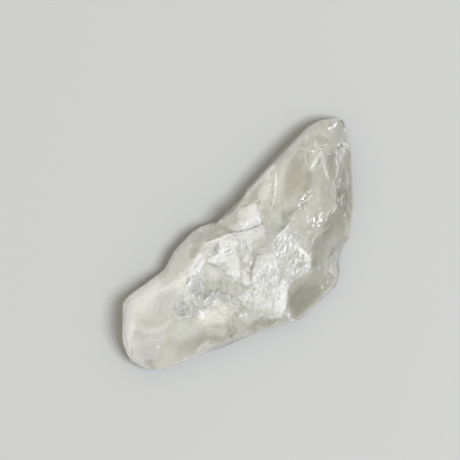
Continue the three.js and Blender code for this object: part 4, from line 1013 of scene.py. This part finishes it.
def paint(points, onTop, glow):
    # lays the regions over the body finish in turn, each tone times its painted light factor, then
    # tone * (1 + mottle * noise), then the strokes; last the tone takes the painted light of glow
    ragged = warped(points, paintwork["ragged"], paintwork["raggedSize"], seeds["borders"])
    count = len(points)
    kinds = ("milk", "frost", "mottle", "flecks", "hair")
    finish = {key: np.full(count, float(bodyFinish[key])) for key in kinds}
    finish["tone"] = np.tile(tones[bodyFinish["tone"]], (count, 1))
    for region in regions.values():
        near, share = regionShares(ragged, region, region["soft"])
        share = share * onTop[near]
        # painted light and shade: the area's tone times its light factor
        shown = tones[region["tone"]] * region["light"]
        finish["tone"][near] = mix(finish["tone"][near], shown, share[:, None])
        for key in kinds:
            finish[key][near] = mix(finish[key][near], region.get(key, bodyFinish[key]), share)
    coarse, small, coarseShare = paintwork["mottleSize"], paintwork["grainSize"], paintwork["coarseShare"]
    grain = lattice(points, coarse, seeds["mottle"]) * coarseShare
    grain += fractal(points, small, seeds["fineMottle"], 2)
    hair = lattice(combed(points, paintwork["grooveLength"]), coarse, seeds["hair"]) * coarseShare
    small = small * paintwork["hairFineness"]
    hair += fractal(combed(points, paintwork["fineGrooveLength"]), small, seeds["fineHair"], 2)
    finish["tone"] *= (1 + finish["mottle"] * mix(grain, hair, finish["hair"]))[:, None]
    ragged = warped(points, paintwork["strokeRagged"], paintwork["strokeRaggedSize"], seeds["strokes"])
    patchy = lattice(points, paintwork["patchSize"], seeds["patches"])
    patchy = np.clip(paintwork["patchMean"] + paintwork["patchSwing"] * patchy, paintwork["patchLeast"], 1)
    for name, milk, _, width, path in strokes:
        near, share = strokeShares(ragged, path, width)
        share = share * onTop[near] * patchy[near]
        finish["tone"][near] = mix(finish["tone"][near], tones[name], share[:, None])
        finish["milk"][near] = mix(finish["milk"][near], milk, share)
        finish["flecks"][near] *= 1 - share
    # painted light: glow raises the tone of faces turned from the key light.
    # a tone is what the eye sees, so the milky share is coloured for it: (tone - (1 - milk) * clear) / milk
    finish["tone"] *= glow[:, None]
    milk = finish["milk"][:, None]
    colour = (finish["tone"] - (1 - milk) * np.array(paintwork["clearTone"])) / milk
    colour = np.maximum(colour, paintwork["darkest"])
    finish["tone"] = colour / np.maximum(colour.max(1, keepdims=True) / paintwork["brightest"], 1)
    finish["milk"] = mix(paintwork["undersideMilk"], finish["milk"], onTop)
    return finish


def makeMesh(name, ring, ends):
    # joins the rings into quads, wraps the last row onto the first, and closes each end with a fan
    stations, rows = ring.shape[:2]
    points = np.concatenate([ring.reshape(-1, 3), ends]) * mm
    i, j = np.meshgrid(np.arange(stations - 1), np.arange(rows), indexing="ij")
    k = (j + 1) % rows
    quads = np.stack([i * rows + j, i * rows + k, (i + 1) * rows + k, (i + 1) * rows + j], axis=2)
    j = np.arange(rows)
    k = (j + 1) % rows
    first, last, base = stations * rows, stations * rows + 1, (stations - 1) * rows
    fans = np.concatenate([np.stack([np.full(rows, first), k, j], axis=1),
                           np.stack([np.full(rows, last), base + j, base + k], axis=1)])
    loops = np.concatenate([quads.ravel(), fans.ravel()])
    totals = np.repeat([4, 3], [quads.size // 4, len(fans)])
    mesh = bpy.data.meshes.new(name)
    mesh.vertices.add(len(points))
    mesh.vertices.foreach_set("co", points.ravel())
    mesh.loops.add(len(loops))
    mesh.loops.foreach_set("vertex_index", loops)
    mesh.polygons.add(len(totals))
    mesh.polygons.foreach_set("loop_start", np.cumsum(totals) - totals)
    mesh.polygons.foreach_set("loop_total", totals)
    mesh.polygons.foreach_set("use_smooth", np.ones(len(totals), bool))
    mesh.update(calc_edges=True)
    mesh.validate()
    piece = bpy.data.objects.new(name, mesh)
    bpy.context.scene.collection.objects.link(piece)
    return piece


def addAttribute(mesh, name, values):
    if values.ndim == 2:
        colours = np.concatenate([values, np.ones((len(values), 1))], axis=1)
        mesh.attributes.new(name, "FLOAT_COLOR", "POINT").data.foreach_set("color", colours.ravel())
    else:
        mesh.attributes.new(name, "FLOAT", "POINT").data.foreach_set("value", values)


smooth = ring
ring = raiseRelief(ring)
ends = np.array([ring[0].mean(0), ring[-1].mean(0)])
ends[:, 0] = lowCorner[0], highCorner[0]
shard = makeMesh("quartz_skin", ring, ends)
facing = gridNormals(soften(smooth, skin["broadPasses"], 1)).reshape(-1, 3)
facing = np.concatenate([facing, [[-1, 0, 0], [1, 0, 0]]])
onTop = ease(facing[:, 2], *paintwork["topFacing"])
finish = paint(np.concatenate([ring.reshape(-1, 3), ends]), onTop, paintedLightOf(facing))
for key in ("tone", "milk", "frost", "flecks", "hair"):
    addAttribute(shard.data, key, finish[key])
print("stage: skin", len(shard.data.vertices), "points")


# shader sums as Python expressions

class Wire:
    # a socket that can be added, subtracted and multiplied
    def __init__(self, tree, socket):
        self.tree, self.socket = tree, socket

    def sum(self, kind, a, b):
        node = self.tree.nodes.new("ShaderNodeMath")
        node.operation = kind
        for slot, value in zip(node.inputs, (a, b)):
            if isinstance(value, Wire):
                self.tree.links.new(value.socket, slot)
            else:
                slot.default_value = value
        return Wire(self.tree, node.outputs[0])

    def __add__(self, other):
        return self.sum("ADD", self, other)

    def __radd__(self, other):
        return self.sum("ADD", other, self)

    def __sub__(self, other):
        return self.sum("SUBTRACT", self, other)

    def __mul__(self, other):
        return self.sum("MULTIPLY", self, other)


class Finish:
    # a material whose nodes are all made by one method
    def __init__(self, name):
        self.material = bpy.data.materials.new(name)
        self.material.use_nodes = True
        self.tree = self.material.node_tree
        self.tree.nodes.clear()
        self.out = self.tree.nodes.new("ShaderNodeOutputMaterial")

    def node(self, kind, settings=None, output=0, inputs=None):
        made = self.tree.nodes.new("ShaderNode" + kind)
        for key, value in (settings or {}).items():
            setattr(made, key, value)
        for key, value in (inputs or {}).items():
            if isinstance(value, Wire):
                self.tree.links.new(value.socket, made.inputs[key])
            else:
                made.inputs[key].default_value = value
        return Wire(self.tree, made.outputs[output])

    def noise(self, place, scale, detail):
        return self.node("TexNoise", inputs={"Vector": place, "Scale": scale, "Detail": detail})

    def step(self, value, low, high):
        return self.node("MapRange", {"interpolation_type": "SMOOTHSTEP"},
                         inputs={"Value": value, "From Min": low, "From Max": high})

    def blend(self, a, b, share):
        return self.node("Mix", {"data_type": "RGBA"}, 2, {0: share, 6: a, 7: b})

    def plug(self, wire, name):
        self.tree.links.new(wire.socket, self.out.inputs[name])


quartz = {
    "ior": 1.544,
    "absorption": (0.86, 0.85, 0.72), "absorptionDensity": 40.0,   # density per metre
    "glow": 1.0, "glowReach": 0.006,   # share and reach (m) of light scattered inside the milky parts
    "glowRadius": (1.0, 1.0, 0.9),     # how far each colour goes of that reach
    "roughness": (0.03, 0.7),   # of clean quartz, and how much frost adds
    "veilScale": 900.0, "veilDetail": 5.0, "veil": 0.16,   # spots per metre, strength of the uneven milk
    # flecks: the bright ones are painted sparkle, white chips and glints of tiny faces
    "fleckScale": 4800.0, "fleckDetail": 2.0,
    "fleckLength": 4.0,   # a drawn-out fleck's length over its width
    "fleckTone": (0.98, 0.98, 0.96), "fleckShade": 0.72,
    "brightFlecks": (0.54, 0.66), "darkFlecks": (0.46, 0.34),   # noise levels that they come in between
    "fineScale": 4200.0, "fineDetail": 3.0, "sugarScale": 2600.0,
    "bumpShares": (0.25, 1.2, 1.6),   # of the veil noise, the fine noise and the sugary cells
    "bumpStrength": 0.35, "bumpHeight": 0.0002,
}


def makeQuartz():
    # clear quartz mixed with milky quartz by milk + veil noise, both with one bump of three noises,
    # the finer ones only where the surface is frosted; the milky one's tone is crossed by bright flecks
    # where a noise is high, a painted sparkle, and dark ones where it is low
    f = Finish("quartz")
    place = f.node("TexCoord", output="Object")
    names = ("milk", "frost", "flecks", "hair")
    milk, frost, flecks, hair = (f.node("Attribute", {"attribute_name": name}, "Fac") for name in names)
    shown = f.node("Attribute", {"attribute_name": "tone"}, "Color")
    turn = (0, 0, math.radians(relief["grooveCompass"]))
    drawn = f.node("Mapping", {"vector_type": "TEXTURE"}, inputs={
        "Vector": place, "Rotation": turn, "Scale": (quartz["fleckLength"], 1, 1)})
    dots, dashes = (f.noise(where, quartz["fleckScale"], quartz["fleckDetail"]) for where in (place, drawn))
    spots = dots + (dashes - dots) * hair
    shown = f.blend(shown, (*quartz["fleckTone"], 1.0), f.step(spots, *quartz["brightFlecks"]) * flecks)
    darker = f.node("VectorMath", {"operation": "SCALE"}, inputs={0: shown, "Scale": quartz["fleckShade"]})
    shown = f.blend(shown, darker, f.step(spots, *quartz["darkFlecks"]) * flecks)
    veil = f.noise(place, quartz["veilScale"], quartz["veilDetail"])
    fine = f.noise(place, quartz["fineScale"], quartz["fineDetail"])
    sugar = f.node("TexVoronoi", inputs={"Vector": place, "Scale": quartz["sugarScale"]})
    broad, small, cells = quartz["bumpShares"]
    height = veil * broad + fine * frost * small + sugar * frost * cells
    normal = f.node("Bump", inputs={"Strength": quartz["bumpStrength"], "Distance": quartz["bumpHeight"],
                                    "Height": height})
    clean, frosting = quartz["roughness"]
    surface = {"Roughness": clean + frost * frosting, "IOR": quartz["ior"], "Normal": normal}
    clear = f.node("BsdfPrincipled", inputs={**surface, "Base Color": (1, 1, 1, 1),
                                             "Transmission Weight": 1.0})
    milky = f.node("BsdfPrincipled", inputs={**surface, "Base Color": shown,
                                             "Subsurface Weight": quartz["glow"],
                                             "Subsurface Radius": quartz["glowRadius"],
                                             "Subsurface Scale": quartz["glowReach"]})
    hide = milk + (veil - 0.5) * quartz["veil"]
    f.plug(f.node("MixShader", inputs={0: hide, 1: clear, 2: milky}), "Surface")
    f.plug(f.node("VolumeAbsorption", inputs={"Color": (*quartz["absorption"], 1.0),
                                              "Density": quartz["absorptionDensity"]}), "Volume")
    return f.material


shard.data.materials.append(makeQuartz())
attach(shard, "root")
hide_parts("quartz_crystal")
print("stage: quartz finish")

# floor, light and camera

stage = {
    "floorReach": 1.5, "floorTone": (186, 187, 184), "floorRoughness": 0.85,
    "sky": (1.05, 1.0, 0.89), "skyStrength": 0.58,
    "key": (0.96, 1.0, 1.12), "keyPower": 2.71, "keySize": 0.2, "keyDistance": 0.6,
}


def makeFloor():
    r = stage["floorReach"]
    mesh = bpy.data.meshes.new("floor")
    mesh.from_pydata([(-r, -r, 0), (r, -r, 0), (r, r, 0), (-r, r, 0)], [], [(0, 1, 2, 3)])
    floor = bpy.data.objects.new("floor", mesh)
    bpy.context.scene.collection.objects.link(floor)
    f = Finish("floorPaint")
    f.plug(f.node("BsdfPrincipled", inputs={"Base Color": (*tone(*stage["floorTone"]), 1.0),
                                            "Roughness": stage["floorRoughness"]}), "Surface")
    mesh.materials.append(f.material)


def makeLight():
    world = bpy.data.worlds.new("sky")
    world.use_nodes = True
    background = world.node_tree.nodes["Background"]
    background.inputs["Color"].default_value = (*stage["sky"], 1)
    background.inputs["Strength"].default_value = stage["skyStrength"]
    bpy.context.scene.world = world
    light = bpy.data.lights.new("key", "AREA")
    light.shape, light.size, light.energy = "DISK", stage["keySize"], stage["keyPower"]
    light.color = stage["key"]
    key = bpy.data.objects.new("key", light)
    slope = 90 - keyFrom["height"]
    key.location = facingVector(keyFrom["compass"], slope) * stage["keyDistance"]
    key.rotation_euler = (0, math.radians(slope), math.radians(keyFrom["compass"]))
    bpy.context.scene.collection.objects.link(key)


view = {
    "turn": -47,             # degrees from +X to the view's right side
    "aim": (0.32, 5.53),     # mm, the middle of the view, on the shard
    "aimHeight": 5.0,        # mm, the level at which the width below holds
    "distance": 500.0, "width": 58.65, "sensor": 36,
}


def makeCamera():
    data = bpy.data.cameras.new("camera")
    data.sensor_width = view["sensor"]
    data.lens = view["sensor"] * view["distance"] / view["width"]
    camera = bpy.data.objects.new("camera", data)
    x, y = view["aim"]
    camera.location = (x * mm, y * mm, (view["distance"] + view["aimHeight"]) * mm)
    camera.rotation_euler = (0, 0, math.radians(view["turn"]))
    bpy.context.scene.collection.objects.link(camera)
    bpy.context.scene.camera = camera


makeFloor()
makeLight()
makeCamera()
scene = bpy.context.scene
scene.view_settings.view_transform = "Standard"
scene.cycles.use_denoising = True
scene.cycles.max_bounces = 16
scene.cycles.transmission_bounces = 12

bpy.context.view_layer.update()
print("stage: light and camera")
